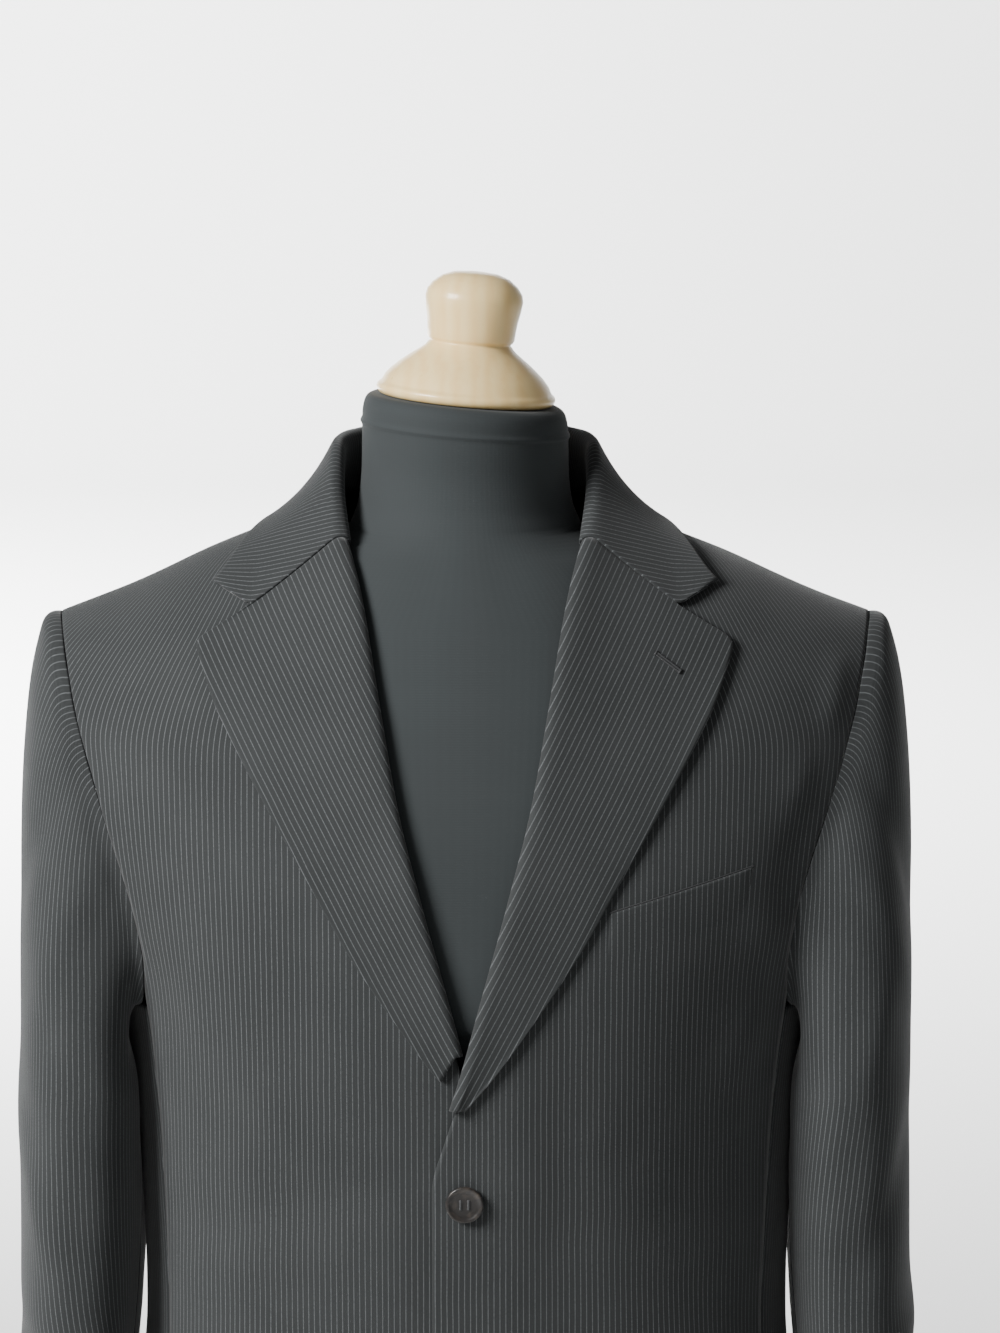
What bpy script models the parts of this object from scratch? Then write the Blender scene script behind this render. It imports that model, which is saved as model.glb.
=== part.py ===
"""A two-piece suit on a limbless dress form: notch-lapel jacket, trousers, form and stand.

Metres, +Z up. The wearer faces -Y, so the wearer's left is +X. The origin is on the floor,
under the middle of the round base. Every cloth piece is an open surface with Solidify: the
surface is the outer face of the cloth and its thickness goes inwards.
"""

import math
from collections import namedtuple

import bmesh
import bpy
from mathutils import Vector

# Driving sizes
JACKET_CLOTH = 0.0016
TROUSER_CLOTH = 0.0012
SEAM_GAP = 0.0004
HALF_GAP = SEAM_GAP / 2
SLEEVE_SEAM_GAP = 0.0020
TROUSER_SEAM_GAP = 0.0010
SHOULDER_GAP_Q = 0.0020
ARMHOLE_GAP = 0.0007
CENTRE_BACK_HALF_GAP = 0.0004

UNDERARM_Z = 1.285
CHEST_SQUARENESS = 2.3
NECK_HALF_WIDTH = 0.078
SHOULDER_TIP_X = 0.228
NECKLINE_BACK_Q = 0.33
FRONT_SEAM_ANGLE = 64.0
BACK_SEAM_ANGLE = 124.0
FRONT_OVERLAP = 0.018
OVERLAP_LIFT = 0.0028

GORGE_Z = 1.547
NOTCH_INNER = (0.1175, 1.5160)
LAPEL_PEAK = (0.1480, 1.4955)
COLLAR_CORNER = (0.1370, 1.5290)
LAPEL_LIFT = 0.0030
CUFF_BUTTON_TURN = -76.0
LAPEL_BOTTOM_LEFT = (1.242, 1.242)
LAPEL_BOTTOM_RIGHT = (1.272, 1.257)
COLLAR_SAG = 0.0035

SLEEVE_RING_Z = 1.235
SLEEVE_SQUARENESS = 2.6
CUFF_Z = 0.872

WAIST_TOP_Z = 1.095
WAISTBAND_HEIGHT = 0.038
CROTCH_Z = 0.835
TROUSER_HEM_Z = 0.036

BASE_RADIUS = 0.205
BASE_THICKNESS = 0.022
POLE_X = 0.088
POLE_RADIUS = 0.0125
FORM_BOTTOM_Z = 0.945
FORM_CLEARANCE = 0.0030
NECK_TILT = 0.09
NECK_TOP_Z = 1.619


def table(columns, *rows):
    """Rows with named columns."""
    row_type = namedtuple("Row", columns)
    return [row_type(*row) for row in rows]


def glide(rows, key, column, at):
    """The column's value at that key, on a smooth curve through the rows, flat past both ends."""
    keys = [getattr(row, key) for row in rows]
    values = [getattr(row, column) for row in rows]
    if keys[0] > keys[-1]:
        keys.reverse()
        values.reverse()
    if at <= keys[0]:
        return values[0]
    if at >= keys[-1]:
        return values[-1]
    i = max(k for k in range(len(keys) - 1) if keys[k] <= at)
    slopes = [(values[k + 1] - values[k]) / (keys[k + 1] - keys[k]) for k in range(len(keys) - 1)]

    def tangent(k):
        if k in (0, len(keys) - 1):
            return slopes[min(k, len(slopes) - 1)]
        before, after = slopes[k - 1], slopes[k]
        return 0.0 if before * after <= 0 else 2 * before * after / (before + after)

    span = keys[i + 1] - keys[i]
    t = (at - keys[i]) / span
    return (
        (2 * t**3 - 3 * t**2 + 1) * values[i]
        + (t**3 - 2 * t**2 + t) * span * tangent(i)
        + (3 * t**2 - 2 * t**3) * values[i + 1]
        + (t**3 - t**2) * span * tangent(i + 1)
    )


def smoothstep(low, high, value):
    t = min(1.0, max(0.0, (value - low) / (high - low)))
    return t * t * (3 - 2 * t)


def spread(start, end, count):
    """count values from start to end, evenly spaced."""
    return [start + (end - start) * k / (count - 1) for k in range(count)]


# The jacket's horizontal rings, hem to shoulder. Above the underarm the half width is that of
# the curve that the fronts and back follow, which is wider than the armhole cut from it.
JACKET_RINGS = table(
    "z half_width front back",
    (0.775, 0.213, 0.148, 0.147),
    (0.860, 0.210, 0.146, 0.144),
    (0.960, 0.201, 0.139, 0.133),
    (1.100, 0.183, 0.129, 0.117),
    (1.200, 0.187, 0.137, 0.123),
    (1.285, 0.196, 0.145, 0.132),
    (1.340, 0.215, 0.145, 0.135),
    (1.400, 0.239, 0.143, 0.137),
    (1.450, 0.254, 0.141, 0.138),
    (1.520, 0.268, 0.140, 0.138),
)
# The ridge of the shoulder, where front and back meet. Inside the neck it is only a guide.
SHOULDER_RIDGE = table(
    "x z y",
    (0.000, 1.600, 0.014),
    (0.040, 1.588, 0.014),
    (0.078, 1.563, 0.012),
    (0.104, 1.5505, 0.010),
    (0.149, 1.5320, 0.006),
    (0.191, 1.5130, 0.003),
    (0.228, 1.4990, 0.001),
    (0.260, 1.4850, 0.000),
)
# The front's inner edge: the rounded hem corner, the button edge, then the roll line.
FRONT_EDGE = table(
    "z x",
    (0.775, 0.098),
    (0.783, 0.076),
    (0.800, 0.058),
    (0.840, 0.036),
    (0.900, 0.015),
    (0.980, -0.006),
    (1.060, -0.016),
    (1.120, -0.018),
    (1.195, -0.018),
    (1.222, -0.011),
    (1.2545, 0.000),
    (1.299, 0.0122),
    (1.360, 0.0290),
    (1.405, 0.0405),
    (1.465, 0.0515),
    (1.515, 0.0605),
    (1.547, 0.0700),
    (1.563, 0.0775),
)
ARMHOLE_FRONT = table(
    "z x",
    (1.285, 0.1800),
    (1.310, 0.1795),
    (1.337, 0.1835),
    (1.370, 0.1930),
    (1.400, 0.2030),
    (1.450, 0.2180),
    (1.499, 0.2280),
)
BACK_CENTRE = table("z x", (1.200, 0.0), (1.700, 0.0))
ARMHOLE_BACK = table(
    "z x",
    (1.285, 0.1620),
    (1.310, 0.1760),
    (1.345, 0.1920),
    (1.400, 0.2080),
    (1.450, 0.2190),
    (1.499, 0.2280),
)
LAPEL_EDGE = table(
    "z x",
    (1.2420, 0.0000),
    (1.2620, 0.0170),
    (1.2970, 0.0425),
    (1.3290, 0.0640),
    (1.3600, 0.0820),
    (1.3960, 0.1035),
    (1.4400, 0.1275),
    (1.4580, 0.1360),
    (1.4955, 0.1480),
)
# The section of a rolled edge, from the seam round the fold: along is away from the panel,
# over is above its outer face, share says how much of the collar's stand applies there.
ROLL_SECTION = table(
    "along over share",
    (0.0013, -0.0016, 0.00),
    (0.0032, -0.0008, 0.45),
    (0.0042, 0.0018, 0.92),
    (0.0026, 0.0044, 1.00),
)
# The collar, from the gorge round to the centre back: where its seam sits on the neckline, how
# far the fold stands above it, and where the outer edge lies. q is 0 on the shoulder ridge,
# negative to the front and positive to the back; z is used on the front instead of q.
COLLAR_ROWS = table(
    "along neck_x neck_q fold_x fold_y fold_rise edge_x edge_q",
    (0.00, 0.0700, -0.215, 0.000, 0.000, 0.000, 0.1370, -0.240),
    (0.12, 0.0730, -0.155, -0.001, 0.000, 0.007, 0.1275, -0.150),
    (0.28, 0.0760, -0.070, -0.0035, 0.000, 0.018, 0.1165, -0.050),
    (0.40, 0.0775, 0.000, -0.0055, 0.000, 0.0255, 0.1080, 0.030),
    (0.60, 0.0640, 0.170, -0.004, 0.000, 0.031, 0.0880, 0.180),
    (0.80, 0.0350, 0.285, -0.001, 0.000, 0.035, 0.0510, 0.325),
    (1.00, 0.0000, 0.330, 0.000, 0.001, 0.036, 0.0000, 0.385),
)
SLEEVE_ROWS = table(
    "z centre_x centre_y half_width half_depth",
    (1.235, 0.2155, -0.008, 0.0370, 0.0880),
    (1.150, 0.2170, -0.008, 0.0360, 0.0820),
    (1.060, 0.2220, -0.014, 0.0330, 0.0740),
    (0.960, 0.2300, -0.028, 0.0280, 0.0660),
    (0.872, 0.2390, -0.044, 0.0240, 0.0600),
)
TROUSER_ROWS = table(
    "z centre_x centre_y half_width half_depth crease",
    (1.0565, 0.000, 0.003, 0.1690, 0.1145, 0.000),
    (1.000, 0.000, 0.003, 0.1770, 0.1180, 0.000),
    (0.950, 0.004, 0.005, 0.1800, 0.1230, 0.001),
    (0.920, 0.020, 0.006, 0.1640, 0.1250, 0.002),
    (0.880, 0.056, 0.006, 0.1270, 0.1230, 0.003),
    (0.850, 0.082, 0.005, 0.0980, 0.1190, 0.004),
    (0.835, 0.0895, 0.004, 0.0895, 0.1170, 0.004),
    (0.780, 0.0900, 0.002, 0.0840, 0.1100, 0.006),
    (0.650, 0.0890, 0.000, 0.0680, 0.0980, 0.008),
    (0.500, 0.0880, 0.000, 0.0550, 0.0900, 0.010),
    (0.250, 0.0870, -0.002, 0.0490, 0.0850, 0.010),
    (0.036, 0.0870, -0.002, 0.0460, 0.0810, 0.010),
)
# The dress form: body rings, then the neck.
FORM_RINGS = table(
    "z half_width front back squareness",
    (0.945, 0.1600, 0.1080, 0.1100, 2.0),
    (1.000, 0.1650, 0.1080, 0.1080, 2.0),
    (1.060, 0.1630, 0.1060, 0.1050, 2.0),
    (1.095, 0.1630, 0.1065, 0.1050, 2.0),
    (1.150, 0.1650, 0.1130, 0.1060, 2.1),
    (1.220, 0.1710, 0.1240, 0.1130, 2.2),
    (1.270, 0.1760, 0.1320, 0.1210, 2.3),
)
NECK_RINGS = table(
    "z radius centre_y",
    (1.547, 0.0660, 0.004),
    (1.562, 0.0605, 0.003),
    (1.580, 0.0585, 0.001),
    (1.595, 0.0580, -0.002),
    (1.608, 0.0575, -0.004),
    (1.615, 0.0560, -0.005),
    (1.619, 0.0530, -0.005),
)
NECK_CAP_PROFILE = table(
    "height radius",
    (0.0000, 0.0470),
    (0.0015, 0.0492),
    (0.0055, 0.0505),
    (0.0095, 0.0485),
    (0.0125, 0.0430),
    (0.0200, 0.0350),
    (0.0290, 0.0275),
    (0.0360, 0.0240),
    (0.0380, 0.0215),
    (0.0405, 0.0215),
    (0.0430, 0.0245),
    (0.0510, 0.0285),
    (0.0600, 0.0270),
    (0.0680, 0.0200),
    (0.0720, 0.0100),
)
BASE_PROFILE = table(
    "height radius",
    (0.0000, 0.2000),
    (0.0030, 0.2050),
    (0.0130, 0.2050),
    (0.0190, 0.2000),
    (0.0220, 0.1900),
)
POLE_PROFILE = table(
    "height radius",
    (0.0000, 0.0175),
    (0.0040, 0.0175),
    (0.0070, 0.0160),
    (0.0080, 0.0125),
    (0.9226, 0.0125),
)
BUTTON_PROFILE = table(
    "height radius",
    (0.00, 0.85),
    (0.10, 1.00),
    (0.26, 1.00),
    (0.32, 0.93),
    (0.28, 0.80),
    (0.22, 0.72),
)


# Points on the jacket's outer face


def ridge_z(x):
    return glide(SHOULDER_RIDGE, "x", "z", abs(x))


def ridge_y(x):
    return glide(SHOULDER_RIDGE, "x", "y", abs(x))


def jacket_depth(x, z, side):
    """How far the jacket reaches from its middle at that x and height, below the shoulder's curve."""
    half_width = glide(JACKET_RINGS, "z", "half_width", z)
    depth = glide(JACKET_RINGS, "z", "front" if side < 0 else "back", z)
    share = min(1.0, abs(x) / half_width)
    return depth * (1 - share**CHEST_SQUARENESS) ** (1 / CHEST_SQUARENESS)


def upper_point(x, q):
    """A point above the underarm: q is 0 on the shoulder's ridge, -1 at the chest, 1 at the back."""
    angle = abs(q) * math.pi / 2
    rise = math.cos(angle)
    z = UNDERARM_Z + (ridge_z(x) - UNDERARM_Z) * rise
    side = -1 if q < 0 else 1
    return (x, ridge_y(x) * rise**2 + side * jacket_depth(x, z, side) * math.sin(angle), z)


def q_at(x, z, side):
    rise = min(1.0, max(0.0, (z - UNDERARM_Z) / (ridge_z(x) - UNDERARM_Z)))
    return side * math.acos(rise) * 2 / math.pi


def jacket_point(x, z, side):
    """The jacket's outer face at that x and height, side -1 in front and 1 behind."""
    if z > UNDERARM_Z:
        return upper_point(x, q_at(x, z, side))
    return (x, side * jacket_depth(x, z, side), z)


def ring_point(z, angle):
    """A point on a ring below the underarm, by its angle from the centre front."""
    turn = math.radians(angle)
    half_width = glide(JACKET_RINGS, "z", "half_width", z)
    side = -1 if angle <= 90 else 1
    x = half_width * math.sin(turn) ** (2 / CHEST_SQUARENESS)
    return jacket_point(min(x, half_width), z, side)


def moved(point, direction, distance):
    return tuple(p + d * distance for p, d in zip(point, direction))


def towards(a, b):
    """The direction from a to b."""
    difference = [q - p for p, q in zip(a, b)]
    length = math.sqrt(sum(d * d for d in difference)) or 1.0
    return tuple(d / length for d in difference)


def overlap_lift(x, z, lift):
    """How far a front stands off near its button edge, where it crosses the other front."""
    return lift * (1 - smoothstep(0.022, 0.060, x)) * (1 - smoothstep(UNDERARM_Z, 1.40, z))


def lifted_point(x, z, lift):
    """The jacket's outer face in front, raised near the button edge."""
    point = jacket_point(x, z, -1)
    return (point[0], point[1] - overlap_lift(x, z, lift), point[2])


def jacket_normal(x, z, side):
    """The outward direction of the jacket's face, from its slopes along x and z."""
    step = 0.002
    across = towards(jacket_point(x - step, z, side), jacket_point(x + step, z, side))
    up = towards(jacket_point(x, z - step, side), jacket_point(x, z + step, side))
    normal = (
        across[1] * up[2] - across[2] * up[1],
        across[2] * up[0] - across[0] * up[2],
        across[0] * up[1] - across[1] * up[0],
    )
    length = math.sqrt(sum(n * n for n in normal))
    return tuple(-side * n / length for n in normal)


def upper_normal(x, q):
    """The outward direction above the underarm, by x and q."""
    step_x, step_q = 0.002, 0.01
    across = towards(upper_point(x - step_x, q), upper_point(x + step_x, q))
    over = towards(upper_point(x, q - step_q), upper_point(x, q + step_q))
    normal = (
        across[1] * over[2] - across[2] * over[1],
        across[2] * over[0] - across[0] * over[2],
        across[0] * over[1] - across[1] * over[0],
    )
    length = math.sqrt(sum(n * n for n in normal))
    return tuple(n / length for n in normal)


# Building pieces


def clear_scene():
    for obj in list(bpy.data.objects):
        bpy.data.objects.remove(obj)


def material(name, colour, roughness, metallic=0.0):
    made = bpy.data.materials.new(name)
    made.use_nodes = True
    shader = made.node_tree.nodes["Principled BSDF"]
    shader.inputs["Base Color"].default_value = (*colour, 1.0)
    shader.inputs["Roughness"].default_value = roughness
    shader.inputs["Metallic"].default_value = metallic
    return made


def keep(obj, finish, group):
    """Puts a finished object in the suit's collection with its material."""
    obj.data.materials.clear()
    obj.data.materials.append(finish)
    for holder in list(obj.users_collection):
        holder.objects.unlink(obj)
    group.objects.link(obj)
    return obj


def mesh_object(name, grid, closed_across=False):
    """An open surface through rows of points, each row as long as the others."""
    form = bmesh.new()
    rows = [[form.verts.new(point) for point in row] for row in grid]
    width = len(grid[0])
    last = width if closed_across else width - 1
    for low, high in zip(rows, rows[1:]):
        for k in range(last):
            n = (k + 1) % width
            form.faces.new((low[k], low[n], high[n], high[k]))
    mesh = bpy.data.meshes.new(name)
    form.to_mesh(mesh)
    form.free()
    return bpy.data.objects.new(name, mesh)


def cloth(name, grid, thickness, finish, group, closed_across=False, flip=False):
    """A cloth piece: rows of points on its outer face, thickened inwards."""
    if flip:
        grid = [list(reversed(row)) for row in grid]
    obj = mesh_object(name, grid, closed_across)
    wall = obj.modifiers.new("Cloth", "SOLIDIFY")
    wall.thickness = thickness
    wall.offset = -1.0
    return keep(obj, finish, group)


def mirrored(grid):
    return [[(-x, y, z) for x, y, z in row] for row in grid]


def both_sides(name, grid, thickness, finish, group, flip=False):
    """The wearer's left piece and its mirror image."""
    cloth(name + "_left", grid, thickness, finish, group, flip=flip)
    cloth(name + "_right", mirrored(grid), thickness, finish, group, flip=not flip)


# The jacket's body

LOWER_LEVELS = [0.775, 0.790, 0.830, 0.890, 0.960, 1.025, 1.065, 1.105, 1.160, 1.222, 1.285]
UPPER_ANGLES = [15, 29, 42, 54, 65, 75, 83, 90]
BACK_COLUMNS = [0.0, 0.13, 0.245, 0.342, 0.47, 0.605, 0.737, 0.868, 1.0]
PANEL_STEPS = 10


def upper_row(rise, edge_in, edge_out, side, shares, inner_gap):
    """A level above the underarm: the same share of the way up to the ridge at each x."""

    def solve(edge):
        z = UNDERARM_Z + 0.25 * rise
        for _ in range(30):
            x = glide(edge, "z", "x", z)
            z = UNDERARM_Z + (ridge_z(x) - UNDERARM_Z) * rise
        return x

    x_in = solve(edge_in) + inner_gap
    x_out = solve(edge_out) - HALF_GAP
    q = side * math.acos(min(1.0, rise)) * 2 / math.pi
    if abs(q) < SHOULDER_GAP_Q:
        q = side * SHOULDER_GAP_Q
    return [upper_point(x_in + (x_out - x_in) * share, q) for share in shares]


def front_grid(lift):
    """The left front, hem to shoulder seam. lift raises its button edge over the other front."""
    rows = []
    for z in LOWER_LEVELS:
        seam_x = ring_point(z, FRONT_SEAM_ANGLE)[0] - HALF_GAP
        edge_x = glide(FRONT_EDGE, "z", "x", z)
        rows.append([lifted_point(x, z, lift) for x in spread(edge_x, seam_x, PANEL_STEPS)])
    for angle in UPPER_ANGLES:
        rise = math.sin(math.radians(angle))
        row = upper_row(rise, FRONT_EDGE, ARMHOLE_FRONT, -1, spread(0, 1, PANEL_STEPS), 0.0)
        rows.append([(x, y - overlap_lift(x, z, lift), z) for x, y, z in row])
    return rows


def side_grid():
    """The side panel, hem to the bottom of the armhole."""
    return [
        [
            ring_point(z, angle)
            for angle in spread(FRONT_SEAM_ANGLE + 0.1, BACK_SEAM_ANGLE - 0.1, 5)
        ]
        for z in LOWER_LEVELS
    ]


def back_grid():
    """The left back, hem to shoulder seam and neckline."""
    rows = []
    for z in LOWER_LEVELS:
        seam_x = ring_point(z, BACK_SEAM_ANGLE)[0] - HALF_GAP
        inner_x = CENTRE_BACK_HALF_GAP
        columns = [inner_x + (seam_x - inner_x) * share for share in BACK_COLUMNS]
        rows.append([jacket_point(x, z, 1) for x in columns])
    for angle in UPPER_ANGLES:
        rise = math.sin(math.radians(angle))
        q = max(1 - angle / 90, SHOULDER_GAP_Q)
        shoulder = upper_row(rise, BACK_CENTRE, ARMHOLE_BACK, 1, BACK_COLUMNS, CENTRE_BACK_HALF_GAP)
        rows.append([upper_point(x, q + neckline_q(x) * (1 - q) ** 2) for x, _, _ in shoulder])
    return rows


def neckline_q(x):
    """How far behind the shoulder's ridge the back neckline lies at that x."""
    share = min(1.0, abs(x) / NECK_HALF_WIDTH)
    return NECKLINE_BACK_Q * math.sqrt(max(0.0, 1 - share**2))


def build_jacket_body(finish, group):
    left = front_grid(OVERLAP_LIFT)
    right = mirrored(front_grid(0.0))
    cloth("jacket_front_left", left, JACKET_CLOTH, finish, group)
    cloth("jacket_front_right", right, JACKET_CLOTH, finish, group, flip=True)
    both_sides("jacket_side", side_grid(), JACKET_CLOTH, finish, group)
    both_sides("jacket_back", back_grid(), JACKET_CLOTH, finish, group, flip=True)


# Lapels and collar


LAPEL_STEPS = 6
LAPEL_TURN = 0.91
COLLAR_ACROSS = [0.07, 0.20, 0.33, 0.46, 0.59, 0.76, 1.0]


def section_point(point, away, normal, row, reach_up=(0.0, 0.0, 0.0)):
    moved_out = moved(moved(point, away, row.along), normal, row.over)
    return tuple(p + r * row.share for p, r in zip(moved_out, reach_up))


def lapel_outer(share, low):
    """The lapel's outer edge by its share of the way up: the long edge, then the notch."""
    if share <= LAPEL_TURN:
        z = low + (LAPEL_PEAK[1] - low) * share / LAPEL_TURN
        return glide(LAPEL_EDGE, "z", "x", z), z
    t = (share - LAPEL_TURN) / (1 - LAPEL_TURN)
    return tuple(p + (n - p) * t for p, n in zip(LAPEL_PEAK, NOTCH_INNER))


def lapel_row(share, bottom, lift):
    """A row of the lapel: round the rolled edge, then out over the front to the lapel's edge."""
    z = bottom[0] + (GORGE_Z - bottom[0]) * share
    x_in = glide(FRONT_EDGE, "z", "x", z)
    base = lifted_point(x_in, z, lift)
    normal = jacket_normal(x_in, z, -1)
    row = [section_point(base, (-1.0, 0.0, 0.0), normal, part) for part in ROLL_SECTION]
    out_x, out_z = lapel_outer(share, bottom[1])
    for across in spread(0.12, 1.0, LAPEL_STEPS):
        x = x_in + (out_x - x_in) * across
        level = z + (out_z - z) * across
        height = LAPEL_LIFT + 0.0022 * (1 - across) ** 2
        row.append(moved(lifted_point(x, level, lift), jacket_normal(x, level, -1), height))
    return row


def lapel_grid(bottom, lift):
    """The left lapel, from its low point (inner and outer height) to the gorge."""
    shares = spread(0.0, LAPEL_TURN, 11) + [1.0]
    return [lapel_row(share, bottom, lift) for share in shares]


def collar_front_row():
    """The collar's front end: along the gorge seam, then out past the notch to its corner."""
    seam = lapel_row(1.0, LAPEL_BOTTOM_LEFT, 0.0)
    corner = moved(
        jacket_point(*COLLAR_CORNER, -1), jacket_normal(*COLLAR_CORNER, -1), LAPEL_LIFT
    )
    raised = [(x + 0.0003, y, z + SEAM_GAP * 1.3) for x, y, z in seam]
    return raised + [corner]


def collar_section(along):
    """One section of the collar: round the fold from its neck seam, then down to its outer edge."""
    row = {name: glide(COLLAR_ROWS, "along", name, along) for name in COLLAR_ROWS[0]._fields}
    base = upper_point(row["neck_x"], row["neck_q"])
    normal = upper_normal(row["neck_x"], row["neck_q"])
    inward = towards((base[0], base[1], 0.0), (0.0, 0.005, 0.0))
    reach_up = (row["fold_x"], row["fold_y"], row["fold_rise"])
    points = [section_point(base, inward, normal, part, reach_up) for part in ROLL_SECTION]
    fold = points[-1]
    outward = upper_normal(row["edge_x"], row["edge_q"])
    edge = moved(upper_point(row["edge_x"], row["edge_q"]), outward, LAPEL_LIFT)
    for across in COLLAR_ACROSS:
        straight = tuple(f + (e - f) * across for f, e in zip(fold, edge))
        points.append(moved(straight, outward, -COLLAR_SAG * 4 * across * (1 - across)))
    if along > 0.13:
        return points
    share = smoothstep(0.0, 0.13, along)
    front = collar_front_row()
    return [tuple(a + (b - a) * share for a, b in zip(p, q)) for p, q in zip(front, points)]


def collar_grid():
    left = [collar_section(along) for along in spread(0.0, 1.0, 13)]
    return mirrored(left)[:-1] + list(reversed(left))


def build_lapels_and_collar(finish, group):
    left = lapel_grid(LAPEL_BOTTOM_LEFT, OVERLAP_LIFT)
    right = mirrored(lapel_grid(LAPEL_BOTTOM_RIGHT, 0.0))
    cloth("lapel_left", left, JACKET_CLOTH, finish, group)
    cloth("lapel_right", right, JACKET_CLOTH, finish, group, flip=True)
    cloth("collar", collar_grid(), JACKET_CLOTH, finish, group)


# Sleeves


def armhole_points():
    """The armhole from the shoulder tip down the front, under the arm and up the back, with the
    direction that leads off the panel at each point."""
    front = front_grid(0.0)
    side = side_grid()
    back = back_grid()
    found = []
    for row in reversed(front[len(LOWER_LEVELS) - 1:]):
        found.append((row[-1], towards(row[-2], row[-1])))
    for below, point in list(zip(side[-2], side[-1]))[1:-1]:
        found.append((point, towards(below, point)))
    for row in back[len(LOWER_LEVELS) - 1:]:
        found.append((row[-1], towards(row[-2], row[-1])))
    return found


def body_clear_x(y, z):
    """The least x that keeps a hanging sleeve clear of the jacket's side."""
    side = -1 if y < 0 else 1
    level = min(z, UNDERARM_Z)
    depth = glide(JACKET_RINGS, "z", "front" if side < 0 else "back", level)
    half_width = glide(JACKET_RINGS, "z", "half_width", level)
    share = min(1.0, abs(y) / depth)
    return half_width * (1 - share**CHEST_SQUARENESS) ** (1 / CHEST_SQUARENESS) + 0.0045


def sleeve_ring(z, turn):
    """A point of the hanging sleeve: turn is 0 at its outer side, 90 in front, 180 inside."""
    row = {name: glide(SLEEVE_ROWS, "z", name, z) for name in SLEEVE_ROWS[0]._fields}
    out, ahead = math.cos(math.radians(turn)), math.sin(math.radians(turn))
    power = 2 / SLEEVE_SQUARENESS
    x = row["centre_x"] + row["half_width"] * math.copysign(abs(out) ** power, out)
    y = row["centre_y"] - row["half_depth"] * math.copysign(abs(ahead) ** power, ahead)
    return (max(x, body_clear_x(y, z)), y, z)


def bezier(points, t):
    weights = ((1 - t) ** 3, 3 * t * (1 - t) ** 2, 3 * t * t * (1 - t), t**3)
    return tuple(sum(w * p[k] for w, p in zip(weights, points)) for k in range(3))


def sleeve_columns(cap_steps, tube_levels):
    """The sleeve as columns from the armhole to the cuff, one for each armhole point."""
    holes = armhole_points()
    length = [0.0]
    for (a, _), (b, _) in zip(holes, holes[1:]):
        length.append(length[-1] + math.dist(a, b))
    columns = []
    for k, (point, away) in enumerate(holes):
        turn = 360 * length[k] / length[-1]
        start = moved(point, away, ARMHOLE_GAP)
        under = 0.5 - 0.5 * math.cos(math.radians(turn))
        out = 0.026 * (1 - under) + 0.008 * under
        lift = 0.004 * (1 - under) ** 3
        end = sleeve_ring(SLEEVE_RING_Z, turn)
        drop = (point[2] - SLEEVE_RING_Z) * (0.62 - 0.15 * under)
        first = (start[0] + out, start[1], start[2] + lift)
        second = (end[0], end[1], end[2] + drop)
        column = [bezier((start, first, second, end), t) for t in spread(0, 1, cap_steps)]
        column += [sleeve_ring(z, turn) for z in tube_levels]
        columns.append(column)
    return columns


def sleeve_piece(columns, first, last):
    """The rows of one sleeve piece, from one seam column to the other."""
    chosen = [columns[k % (len(columns) - 1)] for k in range(first, last + 1)]
    rows = [list(row) for row in zip(*chosen)]
    for row in rows:
        row[0] = moved(row[0], towards(row[0], row[1]), SLEEVE_SEAM_GAP / 2)
        row[-1] = moved(row[-1], towards(row[-1], row[-2]), SLEEVE_SEAM_GAP / 2)
    return rows


def build_sleeves(finish, group):
    columns = sleeve_columns(7, [1.150, 1.080, 1.010, 0.940, CUFF_Z])
    count = len(columns) - 1
    front_seam, back_seam = 9, 14
    both_sides("sleeve_top", sleeve_piece(columns, back_seam - count, front_seam), JACKET_CLOTH, finish, group)
    both_sides("sleeve_under", sleeve_piece(columns, front_seam, back_seam), JACKET_CLOTH, finish, group)


# Trousers


def trouser_point(z, angle):
    """A point of the left trouser: angle is 0 at the side seam, 90 in front, 180 at the inseam."""
    row = {name: glide(TROUSER_ROWS, "z", name, z) for name in TROUSER_ROWS[0]._fields}
    turn = math.radians(angle)
    x = row["centre_x"] + row["half_width"] * math.cos(turn)
    ridge = row["crease"] * math.exp(-abs(math.cos(turn)) * 5)
    y = row["centre_y"] - (row["half_depth"] + ridge) * math.sin(turn)
    return (x, y, z)


def inner_angle(z):
    """The angle at which a leg's ring meets the centre plane, or 180 below the crotch."""
    centre = glide(TROUSER_ROWS, "z", "centre_x", z)
    half_width = glide(TROUSER_ROWS, "z", "half_width", z)
    share = (HALF_GAP - centre) / half_width
    return 180.0 if share <= -1 else math.degrees(math.acos(share))


TROUSER_LEVELS = [0.036, 0.150, 0.270, 0.390, 0.500, 0.600, 0.700, 0.780, 0.835,
                  0.850, 0.870, 0.895, 0.925, 0.960, 1.005, 1.0565]


def leg_grid(side):
    """Front (side 1) or back (side -1) of the left leg, hem to waistband."""
    rows = []
    for z in TROUSER_LEVELS:
        half_width = glide(TROUSER_ROWS, "z", "half_width", z)
        trim = math.degrees(TROUSER_SEAM_GAP / 2 / half_width)
        inner = inner_angle(z)
        inner -= trim if inner >= 180 else 0.0
        angles = []
        for share in spread(0, 1, 9):
            angles.append(trim + (inner - trim) * share)
        middle = min(range(len(angles)), key=lambda k: abs(angles[k] - 90))
        if inner > 120:
            angles[middle] = 90.0
        rows.append([trouser_point(z, side * angle) for angle in angles])
    return rows


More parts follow.
